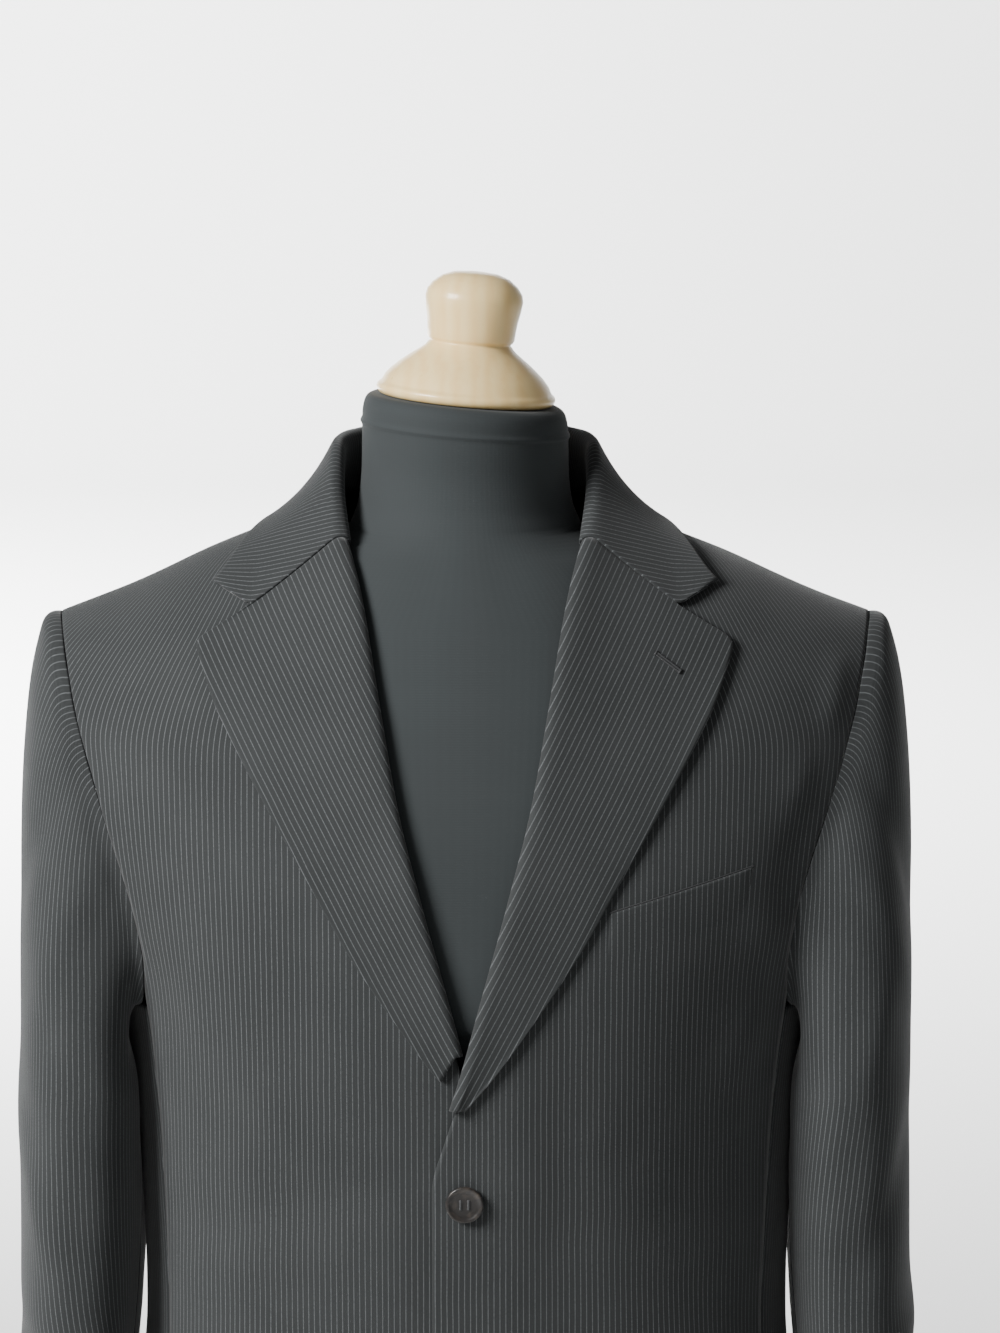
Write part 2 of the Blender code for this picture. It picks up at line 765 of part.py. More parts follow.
def build_trousers(finish, group):
    both_sides("trouser_front", leg_grid(1), TROUSER_CLOTH, finish, group, flip=True)
    both_sides("trouser_back", leg_grid(-1), TROUSER_CLOTH, finish, group)
    levels = spread(WAIST_TOP_Z - WAISTBAND_HEIGHT + SEAM_GAP, WAIST_TOP_Z, 3)
    band = []
    for z in levels:
        row = []
        for angle in spread(0, 360, 37)[:-1]:
            turn = math.radians(angle)
            row.append((0.1667 * math.sin(turn), 0.0015 - 0.1130 * math.cos(turn), z))
        band.append(row)
    cloth("waistband", band, 0.0022, finish, group, closed_across=True)


# Pockets and buttons


def patch_grid(corners, lift, columns, rows):
    """A flat strip laid on the jacket's front between four (x, z) corners: low in, low out, top in,
    top out."""
    grid = []
    for up in spread(0, 1, rows):
        row = []
        for across in spread(0, 1, columns):
            low = [a + (b - a) * across for a, b in zip(corners[0], corners[1])]
            top = [a + (b - a) * across for a, b in zip(corners[2], corners[3])]
            x, z = (a + (b - a) * up for a, b in zip(low, top))
            row.append(moved(jacket_point(x, z, -1), jacket_normal(x, z, -1), lift))
        grid.append(row)
    return grid


def turned(name, profile, base, axis, scale, finish, group, steps=24):
    """A solid turned about an axis, from its rows of height and radius."""
    form = bmesh.new()
    up = Vector(axis).normalized()
    side = up.orthogonal().normalized()
    across = up.cross(side)
    loops = []
    for row in profile:
        loop = []
        for k in range(steps):
            turn = 2 * math.pi * k / steps
            spoke = side * math.cos(turn) + across * math.sin(turn)
            loop.append(form.verts.new(Vector(base) + (up * row.height + spoke * row.radius) * scale))
        loops.append(loop)
    for low, high in zip(loops, loops[1:]):
        for k in range(steps):
            n = (k + 1) % steps
            form.faces.new((low[k], low[n], high[n], high[k]))
    form.faces.new(list(reversed(loops[0])))
    form.faces.new(loops[-1])
    mesh = bpy.data.meshes.new(name)
    form.to_mesh(mesh)
    form.free()
    return keep(bpy.data.objects.new(name, mesh), finish, group)


def build_pockets(finish, group):
    welt = [(0.0775, 1.3210), (0.1560, 1.3420), (0.0795, 1.3490), (0.1600, 1.3700)]
    flap = [(0.0850, 0.9950), (0.1620, 1.0020), (0.0850, 1.0480), (0.1620, 1.0550)]
    cloth("breast_welt", patch_grid(welt, 0.0021, 6, 3), 0.0012, finish, group)
    both_sides("pocket_flap", patch_grid(flap, 0.0026, 6, 4), 0.0012, finish, group)


def build_buttons(finish, group):
    for name, z in (("front_button_upper", 1.188), ("front_button_lower", 1.082)):
        normal = jacket_normal(0.0, z, -1)
        base = moved(lifted_point(0.0, z, OVERLAP_LIFT), normal, 0.0006)
        turned(name, BUTTON_PROFILE, base, normal, 0.0105, finish, group, 20)
    for k in range(4):
        z = 0.890 + 0.0165 * k
        spot = sleeve_ring(z, CUFF_BUTTON_TURN)
        along = towards(sleeve_ring(z, CUFF_BUTTON_TURN - 4), sleeve_ring(z, CUFF_BUTTON_TURN + 4))
        up = towards(sleeve_ring(z - 0.01, CUFF_BUTTON_TURN), sleeve_ring(z + 0.01, CUFF_BUTTON_TURN))
        normal = Vector(up).cross(Vector(along)).normalized()
        if normal.x < 0 and abs(normal.x) > abs(normal.y):
            normal.negate()
        if abs(normal.y) >= abs(normal.x) and normal.y < 0:
            normal.negate()
        base = moved(spot, normal, 0.0004)
        turned(f"cuff_button_left_{k + 1}", BUTTON_PROFILE, base, normal, 0.0073, finish, group, 14)
        base = (-base[0], base[1], base[2])
        normal = (-normal[0], normal[1], normal[2])
        turned(f"cuff_button_right_{k + 1}", BUTTON_PROFILE, base, normal, 0.0073, finish, group, 14)


# Dress form and stand

FORM_COLUMNS = 14
FORM_UPPER_LEVELS = [1.300, 1.330, 1.365, 1.400, 1.435, 1.468, 1.492, 1.510, 1.526, 1.538]


def form_half_loop(z, side):
    """The form's front (side -1) or back half at that level, from +X round to -X."""
    if z <= FORM_RINGS[-1].z:
        half_width = glide(FORM_RINGS, "z", "half_width", z)
        depth = glide(FORM_RINGS, "z", "front" if side < 0 else "back", z)
        power = 2 / glide(FORM_RINGS, "z", "squareness", z)
        half = []
        for k in range(FORM_COLUMNS + 1):
            turn = math.pi * k / FORM_COLUMNS
            x = half_width * math.copysign(abs(math.cos(turn)) ** power, math.cos(turn))
            half.append((x, side * depth * math.sin(turn) ** power, z))
        return half
    armhole = ARMHOLE_FRONT if side < 0 else ARMHOLE_BACK
    half_width = glide(armhole, "z", "x", z) - 0.008
    while ridge_z(half_width) < z + 0.001:
        half_width -= 0.0005
    half = []
    for k in range(FORM_COLUMNS + 1):
        turn = math.pi * k / FORM_COLUMNS
        x = half_width * math.copysign(abs(math.cos(turn)) ** 0.8, math.cos(turn))
        normal = jacket_normal(x, z, side)
        half.append(moved(jacket_point(x, z, side), normal, -JACKET_CLOTH - FORM_CLEARANCE))
    return half


def build_form(jersey, wood, steel, group):
    form = bmesh.new()
    rings = []
    for z in [row.z for row in FORM_RINGS] + FORM_UPPER_LEVELS:
        front, back = form_half_loop(z, -1), form_half_loop(z, 1)
        if z <= FORM_RINGS[-1].z:
            loop = front[:-1] + list(reversed(back))[:-1]
            extra = [tuple((p * 3 + q) / 4 for p, q in zip(a, b)) for a, b in
                     ((front[-1], back[-2]), (back[0], front[1]))]
            loop = front + extra[:1] + list(reversed(back))[1:-1] + extra[1:]
        else:
            loop = front + list(reversed(back))
        rings.append([form.verts.new(point) for point in loop])
    count = len(rings[0])
    for row in NECK_RINGS:
        ring = []
        for k in range(count):
            point = rings[len(FORM_RINGS) + len(FORM_UPPER_LEVELS) - 1][k].co
            turn = math.atan2(point.y - 0.006, point.x)
            x, y = row.radius * math.cos(turn), row.centre_y + row.radius * math.sin(turn)
            tilt = NECK_TILT * smoothstep(NECK_RINGS[0].z, NECK_TOP_Z, row.z)
            ring.append(form.verts.new((x, y, row.z - tilt * x)))
        rings.append(ring)
    for low, high in zip(rings, rings[1:]):
        for k in range(count):
            n = (k + 1) % count
            form.faces.new((low[k], low[n], high[n], high[k]))
    form.faces.new(list(reversed(rings[0])))
    form.faces.new(rings[-1])
    bmesh.ops.recalc_face_normals(form, faces=form.faces)
    mesh = bpy.data.meshes.new("form_torso")
    form.to_mesh(mesh)
    form.free()
    keep(bpy.data.objects.new("form_torso", mesh), jersey, group)

    axis = Vector((NECK_TILT, 0.0, 1.0)).normalized()
    seat = Vector((0.0, NECK_RINGS[-1].centre_y, NECK_TOP_Z)) + axis * 0.0003
    turned("neck_cap", NECK_CAP_PROFILE, seat, axis, 1.0, wood, group, 40)
    turned("stand_base", BASE_PROFILE, (0, 0, 0), (0, 0, 1), 1.0, wood, group, 64)
    turned("stand_pole", POLE_PROFILE, (POLE_X, 0, BASE_THICKNESS + 0.0002), (0, 0, 1), 1.0, steel, group, 20)


def main():
    clear_scene()
    group = bpy.data.collections.new("two_piece_suit")
    bpy.context.scene.collection.children.link(group)
    suiting = material("suiting", (0.055, 0.060, 0.062), 0.85)
    horn = material("button", (0.030, 0.028, 0.026), 0.35)
    jersey = material("jersey", (0.030, 0.033, 0.034), 0.95)
    wood = material("wood", (0.78, 0.60, 0.38), 0.35)
    steel = material("steel", (0.60, 0.60, 0.60), 0.30, 1.0)
    build_jacket_body(suiting, group)
    build_lapels_and_collar(suiting, group)
    build_sleeves(suiting, group)
    build_pockets(suiting, group)
    build_trousers(suiting, group)
    build_buttons(horn, group)
    build_form(jersey, wood, steel, group)


main()
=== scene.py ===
import math

import bmesh
import bpy
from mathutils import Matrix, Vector, noise


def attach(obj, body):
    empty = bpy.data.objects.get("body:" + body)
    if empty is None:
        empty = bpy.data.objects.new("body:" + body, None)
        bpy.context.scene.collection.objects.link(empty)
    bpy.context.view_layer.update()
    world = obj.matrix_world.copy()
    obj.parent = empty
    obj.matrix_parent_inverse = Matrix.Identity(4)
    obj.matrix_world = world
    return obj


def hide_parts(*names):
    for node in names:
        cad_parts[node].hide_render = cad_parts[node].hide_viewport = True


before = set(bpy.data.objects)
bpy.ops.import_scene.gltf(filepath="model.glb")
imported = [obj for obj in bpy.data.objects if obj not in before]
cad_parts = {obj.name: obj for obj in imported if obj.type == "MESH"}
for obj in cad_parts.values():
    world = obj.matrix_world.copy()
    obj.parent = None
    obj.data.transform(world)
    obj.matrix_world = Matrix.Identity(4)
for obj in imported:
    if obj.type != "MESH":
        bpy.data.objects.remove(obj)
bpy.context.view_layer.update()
print("frame loaded")

# sizes that the whole suit shares, in metres
suit = {
    "jacketCloth": 0.0016,
    "trouserCloth": 0.0012,
    "underarm": 1.285,
    "bottom": 0.775,
    "clearance": 0.0001,  # between the edges of two panels
    "squareness": 2.3,
    "gorge": 1.5435,
    "notchInner": (0.1180, 1.5085),
    "lapelPeak": (0.1495, 1.4895),
    "collarCorner": (0.1410, 1.5195),
    "neckHalfWidth": 0.078,
    "necklineBack": 0.33,
    "frontSeamAngle": 64.0,
    "backSeamAngle": 124.0,
    "overlapLift": 0.0028,
    "stripePitch": 0.00325,
    "stripeWidth": 0.00048,
}

# height, half width, front depth, back depth
jacketRings = [
    (0.775, 0.213, 0.148, 0.147), (0.860, 0.210, 0.146, 0.144), (0.960, 0.201, 0.139, 0.133),
    (1.100, 0.183, 0.129, 0.117), (1.200, 0.187, 0.137, 0.123), (1.285, 0.196, 0.145, 0.132),
    (1.340, 0.215, 0.145, 0.135), (1.400, 0.239, 0.143, 0.137), (1.450, 0.254, 0.141, 0.138),
    (1.520, 0.268, 0.140, 0.138),
]
# distance from the middle, height, depth
shoulderRidge = [
    (0.000, 1.600, 0.014), (0.040, 1.588, 0.014), (0.078, 1.563, 0.012), (0.104, 1.5505, 0.010),
    (0.149, 1.5320, 0.006), (0.191, 1.5130, 0.003), (0.228, 1.4990, 0.001), (0.260, 1.4850, 0.000),
]
# height, distance from the middle
frontEdge = [
    (0.775, 0.098), (0.783, 0.076), (0.800, 0.058), (0.840, 0.036), (0.900, 0.015), (0.980, -0.006),
    (1.060, -0.016), (1.120, -0.018), (1.195, -0.018), (1.222, -0.011), (1.2545, 0.000),
    (1.299, 0.0122), (1.360, 0.0290), (1.405, 0.0405), (1.465, 0.0515), (1.515, 0.0605),
    (1.547, 0.0700), (1.563, 0.0775),
]
armholeFront = [
    (1.285, 0.1800), (1.310, 0.1795), (1.337, 0.1835), (1.370, 0.1930), (1.400, 0.2030),
    (1.450, 0.2180), (1.499, 0.2280),
]
armholeBack = [
    (1.285, 0.1620), (1.310, 0.1760), (1.345, 0.1920), (1.400, 0.2080), (1.450, 0.2190),
    (1.499, 0.2280),
]
lapelEdge = [
    (1.2420, 0.0000), (1.2620, 0.0170), (1.2970, 0.0425), (1.3290, 0.0640), (1.3600, 0.0820),
    (1.3960, 0.1035), (1.4400, 0.1285), (1.4580, 0.1378), (1.4895, 0.1495),
]
# share along the collar, seam x, seam q, fold x, fold y, fold rise, edge x, edge q
collarRows = [
    (0.00, 0.0700, -0.215, 0.000, 0.000, 0.000, 0.1400, -0.290),
    (0.12, 0.0730, -0.155, -0.001, 0.000, 0.007, 0.1290, -0.165),
    (0.28, 0.0760, -0.070, -0.0035, 0.000, 0.018, 0.1165, -0.050),
    (0.40, 0.0775, 0.000, -0.0055, 0.000, 0.0255, 0.1080, 0.030),
    (0.60, 0.0640, 0.170, -0.004, 0.000, 0.031, 0.0880, 0.180),
    (0.80, 0.0350, 0.285, -0.001, 0.000, 0.035, 0.0510, 0.325),
    (1.00, 0.0000, 0.330, 0.000, 0.001, 0.036, 0.0000, 0.385),
]
# height, centre x, centre y, half width, half depth
sleeveRings = [
    (0.872, 0.2390, -0.044, 0.0240, 0.0600), (0.960, 0.2300, -0.028, 0.0280, 0.0660),
    (1.060, 0.2220, -0.014, 0.0330, 0.0740), (1.150, 0.2170, -0.008, 0.0360, 0.0820),
    (1.235, 0.2155, -0.008, 0.0370, 0.0880),
]
# height, centre x, centre y, half width, half depth, crease
trouserRings = [
    (0.036, 0.0870, -0.002, 0.0460, 0.0810, 0.010), (0.250, 0.0870, -0.002, 0.0490, 0.0850, 0.010),
    (0.500, 0.0880, 0.000, 0.0550, 0.0900, 0.010), (0.650, 0.0890, 0.000, 0.0680, 0.0980, 0.008),
    (0.780, 0.0900, 0.002, 0.0840, 0.1100, 0.006), (0.835, 0.0895, 0.004, 0.0895, 0.1170, 0.004),
    (0.850, 0.082, 0.005, 0.0980, 0.1190, 0.004), (0.880, 0.056, 0.006, 0.1270, 0.1230, 0.003),
    (0.920, 0.020, 0.006, 0.1640, 0.1250, 0.002), (0.950, 0.004, 0.005, 0.1800, 0.1230, 0.001),
    (1.000, 0.000, 0.003, 0.1770, 0.1180, 0.000), (1.0565, 0.000, 0.003, 0.1690, 0.1145, 0.000),
]


def glide(rows, at, column=1):
    # the column's value on a smooth curve through the rows, flat past both ends
    if at <= rows[0][0]:
        return rows[0][column]
    if at >= rows[-1][0]:
        return rows[-1][column]
    i = max(k for k in range(len(rows) - 1) if rows[k][0] <= at)

    def slope(k):
        return (rows[k + 1][column] - rows[k][column]) / (rows[k + 1][0] - rows[k][0])

    def tangent(k):
        if k in (0, len(rows) - 1):
            return slope(min(k, len(rows) - 2))
        before, after = slope(k - 1), slope(k)
        return 0.0 if before * after <= 0 else 2 * before * after / (before + after)

    span = rows[i + 1][0] - rows[i][0]
    t = (at - rows[i][0]) / span
    return (
        (2 * t**3 - 3 * t**2 + 1) * rows[i][column]
        + (t**3 - 2 * t**2 + t) * span * tangent(i)
        + (3 * t**2 - 2 * t**3) * rows[i + 1][column]
        + (t**3 - t**2) * span * tangent(i + 1)
    )


def ramp(low, high, value):
    t = min(1.0, max(0.0, (value - low) / (high - low)))
    return t * t * (3 - 2 * t)


def bump(centre, width, value):
    return math.exp(-(((value - centre) / width) ** 2))


def ridgeZ(x):
    return glide(shoulderRidge, abs(x), 1)


def roundOff(share):
    # the rest of the way to the rim of the body's rounded section
    return (1 - min(1.0, share) ** suit["squareness"]) ** (1 / suit["squareness"])


def jacketDepth(x, z, side):
    return glide(jacketRings, z, 2 if side < 0 else 3) * roundOff(abs(x) / glide(jacketRings, z))


def upperPoint(x, q):
    # q is 0 on the shoulder's ridge, -1 at the chest and 1 at the back
    angle = abs(q) * math.pi / 2
    rise = math.cos(angle)
    z = suit["underarm"] + (ridgeZ(x) - suit["underarm"]) * rise
    side = -1 if q < 0 else 1
    y = glide(shoulderRidge, abs(x), 2) * rise**2 + side * jacketDepth(x, z, side) * math.sin(angle)
    return Vector((x, y, z))


def qAt(x, z, side):
    low = suit["underarm"]
    rise = min(1.0, max(0.0, (z - low) / (ridgeZ(x) - low)))
    return side * math.acos(rise) * 2 / math.pi


def jacketPoint(x, z, side):
    if z > suit["underarm"]:
        return upperPoint(x, qAt(x, z, side))
    return Vector((x, side * jacketDepth(x, z, side), z))


def ringX(z, angle):
    # how far out a seam at that angle from the centre front lies
    return glide(jacketRings, z, 1) * math.sin(math.radians(angle)) ** (2 / suit["squareness"])


def ringPoint(z, angle):
    return jacketPoint(ringX(z, angle), z, -1 if angle <= 90 else 1)


def faceNormal(surface, a, b, stepA, stepB, outward):
    # the direction of a surface at (a, b), turned to agree with outward
    across = surface(a + stepA, b) - surface(a - stepA, b)
    along = surface(a, b + stepB) - surface(a, b - stepB)
    normal = across.cross(along)
    if normal.length < 1e-12:
        return Vector(outward).normalized()
    normal.normalize()
    return -normal if normal.dot(Vector(outward)) < 0 else normal


def jacketNormal(x, z, side):
    return faceNormal(lambda a, b: jacketPoint(a, b, side), x, z, 0.002, 0.002, (0, side, 0.25))


def upperNormal(x, q):
    outward = (0, q * 1.2, 1 - 0.6 * abs(q))
    return faceNormal(upperPoint, x, q, 0.002, 0.008, outward)


def overlapLift(x, z, lift):
    return lift * (1 - ramp(0.022, 0.060, x)) * (1 - ramp(suit["underarm"], 1.40, z))


def liftedPoint(x, z, lift):
    point = jacketPoint(x, z, -1)
    point.y -= overlapLift(x, z, lift)
    return point


def necklineQ(x):
    share = min(1.0, abs(x) / suit["neckHalfWidth"])
    return suit["necklineBack"] * math.sqrt(max(0.0, 1 - share**2))


def arcAlong(x, z, side, steps=14):
    # cloth length across the panel from the middle, so that stripes keep their pitch
    total, last = 0.0, jacketPoint(0.0, z, side)
    for k in range(1, steps + 1):
        point = jacketPoint(x * k / steps, z, side)
        total += math.hypot(point.x - last.x, point.y - last.y)
        last = point
    return total if x >= 0 else -total


# finishes

weave = {
    "wool": (0.0225, 0.0245, 0.0248),
    "woolLight": (0.0350, 0.0375, 0.0380),
    "stripe": (0.125, 0.133, 0.137),
    "ribShade": (0.012, 0.013, 0.014),
    "twillPitch": 0.0009,
    "roughness": 0.86,
    "sheen": 0.17,
}
timber = {"pale": (0.97, 0.73, 0.35), "grain": (0.87, 0.55, 0.20), "roughness": 0.36, "coat": 0.22}
jerseyKnit = {"black": (0.0280, 0.0320, 0.0330), "loopPitch": 0.0011, "roughness": 0.92}
horn = {"dark": (0.018, 0.016, 0.015), "pale": (0.060, 0.048, 0.038), "roughness": 0.32}
poleMetal = {"colour": (0.62, 0.62, 0.61), "roughness": 0.30}
yarnTones = {"dark": (0.020, 0.021, 0.022), "pale": (0.070, 0.072, 0.074)}


def dress(tree, node, inputs):
    # sets or links the node's inputs by name
    for name, value in inputs.items():
        socket = node.inputs[name]
        if isinstance(value, bpy.types.NodeSocket):
            tree.links.new(value, socket)
        else:
            socket.default_value = value


def addNode(tree, kind, inputs=None, **settings):
    node = tree.nodes.new(f"ShaderNode{kind}")
    for name, value in settings.items():
        setattr(node, name, value)
    dress(tree, node, inputs or {})
    return node


def calc(tree, operation, *values, clamp=False):
    # one Math node, its output
    return addNode(tree, "Math", dict(enumerate(values)), operation=operation, use_clamp=clamp).outputs[0]


def times(tree, a, b, clamp=False):
    return calc(tree, "MULTIPLY", a, b, clamp=clamp)


def plus(tree, a, b, clamp=False):
    return calc(tree, "ADD", a, b, clamp=clamp)


def remap(tree, value, fromMin, fromMax, toMin=0.0, toMax=1.0, **settings):
    limits = {"From Min": fromMin, "From Max": fromMax, "To Min": toMin, "To Max": toMax}
    return addNode(tree, "MapRange", {"Value": value, **limits}, **settings).outputs[0]


def addNoise(tree, vector, scale, detail, **more):
    inputs = {"Vector": vector, "Scale": scale, "Detail": detail, **more}
    return addNode(tree, "TexNoise", inputs).outputs[0]


def blendColour(tree, factor, first, second):
    sides = {6: first, 7: second}
    for key, value in sides.items():
        if isinstance(value, tuple):
            sides[key] = (*value, 1.0)
    return addNode(tree, "Mix", {0: factor, **sides}, data_type="RGBA").outputs[2]


def startGroup(name, takes, gives):
    tree = bpy.data.node_groups.new(name, "ShaderNodeTree")
    for label, kind, value in takes:
        socket = tree.interface.new_socket(label, in_out="INPUT", socket_type="NodeSocket" + kind)
        if value is not None:
            socket.default_value = value
    for label in gives:
        tree.interface.new_socket(label, in_out="OUTPUT", socket_type="NodeSocketFloat")
    return tree, tree.nodes.new("NodeGroupInput").outputs, tree.nodes.new("NodeGroupOutput")


def makeStripeGroup():
    # narrow light lines along the cloth, one yarn wide and slightly uneven
    takes = [("Vector", "Vector", None), ("Pitch", "Float", 0.004), ("Width", "Float", 0.0006)]
    tree, given, out = startGroup("pinstripe", takes, ["Stripe"])
    split = addNode(tree, "SeparateXYZ", {0: given["Vector"]})
    waver = addNoise(tree, given["Vector"], 40.0, 1.0)
    drift = times(tree, calc(tree, "SUBTRACT", waver, 0.5), 0.0005)
    u = plus(tree, split.outputs[0], drift)
    part = calc(tree, "FRACT", plus(tree, calc(tree, "DIVIDE", u, given["Pitch"]), 100.5))
    away = calc(tree, "ABSOLUTE", calc(tree, "SUBTRACT", part, 0.5))
    away = times(tree, away, given["Pitch"])
    half = times(tree, given["Width"], 0.5)
    line = remap(tree, away, times(tree, half, 0.55), times(tree, half, 1.5), 1.0, 0.0,
                 interpolation_type="SMOOTHSTEP")
    broken = remap(tree, addNoise(tree, given["Vector"], 900.0, 2.0), 0.30, 0.62, 0.45, 1.0)
    dress(tree, out, {"Stripe": times(tree, line, broken)})
    return tree


def makeWeaveGroup():
    # diagonal ribs of a fine twill, with the flecks of mixed yarn
    takes = [("Vector", "Vector", None), ("Pitch", "Float", 0.001)]
    tree, given, out = startGroup("twill", takes, ["Rib", "Fleck", "Cloud"])
    split = addNode(tree, "SeparateXYZ", {0: given["Vector"]})
    slant = plus(tree, split.outputs[0], times(tree, split.outputs[1], 0.8))
    turn = times(tree, calc(tree, "DIVIDE", slant, given["Pitch"]), 2 * math.pi)
    dress(tree, out, {
        "Rib": calc(tree, "MULTIPLY_ADD", calc(tree, "SINE", turn), 0.5, 0.5),
        "Fleck": addNoise(tree, given["Vector"], 1500.0, 3.0),
        "Cloud": addNoise(tree, given["Vector"], 14.0, 4.0),
    })
    return tree


def makeGrainGroup():
    # long soft growth rings with fine pores
    takes = [("Vector", "Vector", None), ("Stretch", "Vector", (1.0, 1.0, 1.0)), ("Scale", "Float", 1.0)]
    tree, given, out = startGroup("timberGrain", takes, ["Grain", "Pores"])
    laid = addNode(tree, "Mapping", {"Vector": given["Vector"], "Scale": given["Stretch"]}).outputs[0]
    waves = {"Vector": laid, "Scale": given["Scale"], "Distortion": 5.0, "Detail": 3.0, "Detail Scale": 1.2}
    ring = addNode(tree, "TexWave", waves, wave_type="BANDS", bands_direction="X")
    dress(tree, out, {"Grain": ring.outputs[1], "Pores": addNoise(tree, laid, 260.0, 4.0)})
    return tree


stripeGroup, weaveGroup, grainGroup = makeStripeGroup(), makeWeaveGroup(), makeGrainGroup()


def newFinish(name, roughness, metallic=0.0):
    finish = bpy.data.materials.new(name)
    finish.use_nodes = True
    tree = finish.node_tree
    shader = tree.nodes["Principled BSDF"]
    dress(tree, shader, {"Roughness": roughness, "Metallic": metallic})
    return finish, tree, shader


def setBump(tree, shader, height, strength, distance):
    raised = addNode(tree, "Bump", {"Height": height, "Strength": strength, "Distance": distance})
    dress(tree, shader, {"Normal": raised.outputs[0]})


def objectPlace(tree):
    return addNode(tree, "TexCoord").outputs["Object"]


def makeSuiting():
    finish, tree, shader = newFinish("suiting", weave["roughness"])
    cut = addNode(tree, "UVMap", uv_map="cut").outputs[0]
    lines = {"Vector": cut, "Pitch": suit["stripePitch"], "Width": suit["stripeWidth"]}
    stripe = addNode(tree, "Group", lines, node_tree=stripeGroup).outputs["Stripe"]
    ribs = {"Vector": cut, "Pitch": weave["twillPitch"]}
    cloth = addNode(tree, "Group", ribs, node_tree=weaveGroup).outputs
    mixed = times(tree, plus(tree, cloth["Fleck"], cloth["Cloud"]), 0.5)
    ground = blendColour(tree, remap(tree, mixed, 0.35, 0.65), weave["wool"], weave["woolLight"])
    ground = blendColour(tree, times(tree, cloth["Rib"], 0.16), ground, weave["ribShade"])
    worn = plus(tree, times(tree, cloth["Fleck"], 0.7), 0.40)
    shown = times(tree, stripe, worn, clamp=True)
    dress(tree, shader, {
        "Base Color": blendColour(tree, shown, ground, weave["stripe"]),
        "Sheen Weight": weave["sheen"], "Sheen Roughness": 0.45, "Specular IOR Level": 0.22,
    })
    yarn = plus(tree, times(tree, cloth["Fleck"], 0.6), times(tree, stripe, 0.35))
    setBump(tree, shader, plus(tree, times(tree, cloth["Rib"], 0.5), yarn), 0.35, 0.00025)
    return finish


def makeJersey():
    finish, tree, shader = newFinish("jersey", jerseyKnit["roughness"])
    cut = addNode(tree, "UVMap", uv_map="cut").outputs[0]
    split = addNode(tree, "SeparateXYZ", {0: cut})
    turn = 2 * math.pi / jerseyKnit["loopPitch"]
    wales = calc(tree, "SINE", times(tree, split.outputs[0], turn))
    courses = calc(tree, "SINE", times(tree, split.outputs[1], turn * 0.8))
    loops = times(tree, plus(tree, wales, courses), 0.25)
    cloud = times(tree, addNoise(tree, cut, 9.0, 5.0), 0.8)
    tone = plus(tree, cloud, times(tree, loops, 0.08), clamp=True)
    dark = jerseyKnit["black"]
    dress(tree, shader, {
        "Base Color": blendColour(tree, tone, dark, tuple(c * 1.7 for c in dark)),
        "Sheen Weight": 0.14, "Sheen Roughness": 0.4, "Specular IOR Level": 0.2,
    })
    setBump(tree, shader, loops, 0.12, 0.0003)
    return finish


def makeTimber(name, stretch, scale):
    finish, tree, shader = newFinish(name, timber["roughness"])
    laid = {"Vector": objectPlace(tree), "Stretch": stretch, "Scale": scale}
    grain = addNode(tree, "Group", laid, node_tree=grainGroup).outputs
    pores = times(tree, calc(tree, "SUBTRACT", grain["Pores"], 0.45), 0.5)
    tone = plus(tree, times(tree, grain["Grain"], 0.35), pores, clamp=True)
    dress(tree, shader, {
        "Base Color": blendColour(tree, tone, timber["pale"], timber["grain"]),
        "Roughness": remap(tree, grain["Pores"], 0.0, 1.0, 0.22, 0.40),
        "Coat Weight": timber["coat"], "Coat Roughness": 0.12,
    })
    setBump(tree, shader, grain["Pores"], 0.10, 0.0003)
    return finish


def makeHorn():
    finish, tree, shader = newFinish("horn", horn["roughness"])
    marble = addNoise(tree, objectPlace(tree), 110.0, 5.0, Distortion=1.4)
    dress(tree, shader, {
        "Base Color": blendColour(tree, remap(tree, marble, 0.45, 0.72), horn["dark"], horn["pale"]),
        "Roughness": remap(tree, marble, 0.0, 1.0, 0.24, 0.42),
    })
    setBump(tree, shader, marble, 0.12, 0.0002)
    return finish


def makeSteel():
    finish, tree, shader = newFinish("steel", poleMetal["roughness"], 1.0)
    laid = addNode(tree, "Mapping", {"Vector": objectPlace(tree), "Scale": (900.0, 900.0, 8.0)})
    brushed = addNoise(tree, laid.outputs[0], 1.0, 3.0)
    colour = poleMetal["colour"]
    dress(tree, shader, {
        "Base Color": blendColour(tree, brushed, tuple(c * 0.85 for c in colour), colour),
        "Roughness": remap(tree, brushed, 0.0, 1.0, 0.22, 0.42),
    })
    setBump(tree, shader, brushed, 0.08, 0.0002)
    return finish


def makeThread():
    finish, tree, shader = newFinish("thread", 0.8)
    twist = addNoise(tree, objectPlace(tree), 2500.0, 2.0)
    dress(tree, shader, {"Base Color": blendColour(tree, twist, yarnTones["dark"], yarnTones["pale"])})
    setBump(tree, shader, twist, 0.4, 0.0002)
    return finish


suiting, jersey, hornFinish = makeSuiting(), makeJersey(), makeHorn()
steel, thread = makeSteel(), makeThread()
capTimber = makeTimber("capTimber", (1.0, 1.0, 0.12), 34.0)
baseTimber = makeTimber("baseTimber", (1.0, 0.10, 1.0), 22.0)
print("finishes made")


# making pieces

weld = 1e-6


def newObject(name, data):
    made = bpy.data.objects.new(name, data)
    bpy.context.scene.collection.objects.link(made)
    return made


def smoothObject(name, shape, finish):
    mesh = bpy.data.meshes.new(name)
    shape.to_mesh(mesh)
    shape.free()
    for face in mesh.polygons:
        face.use_smooth = True
    mesh.materials.append(finish)
    return newObject(name, mesh)


def keepPiece(name, shape, finish, nodes):
    piece = smoothObject(name, shape, finish)
    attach(piece, "root")
    if nodes:
        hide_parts(*nodes)
    return piece


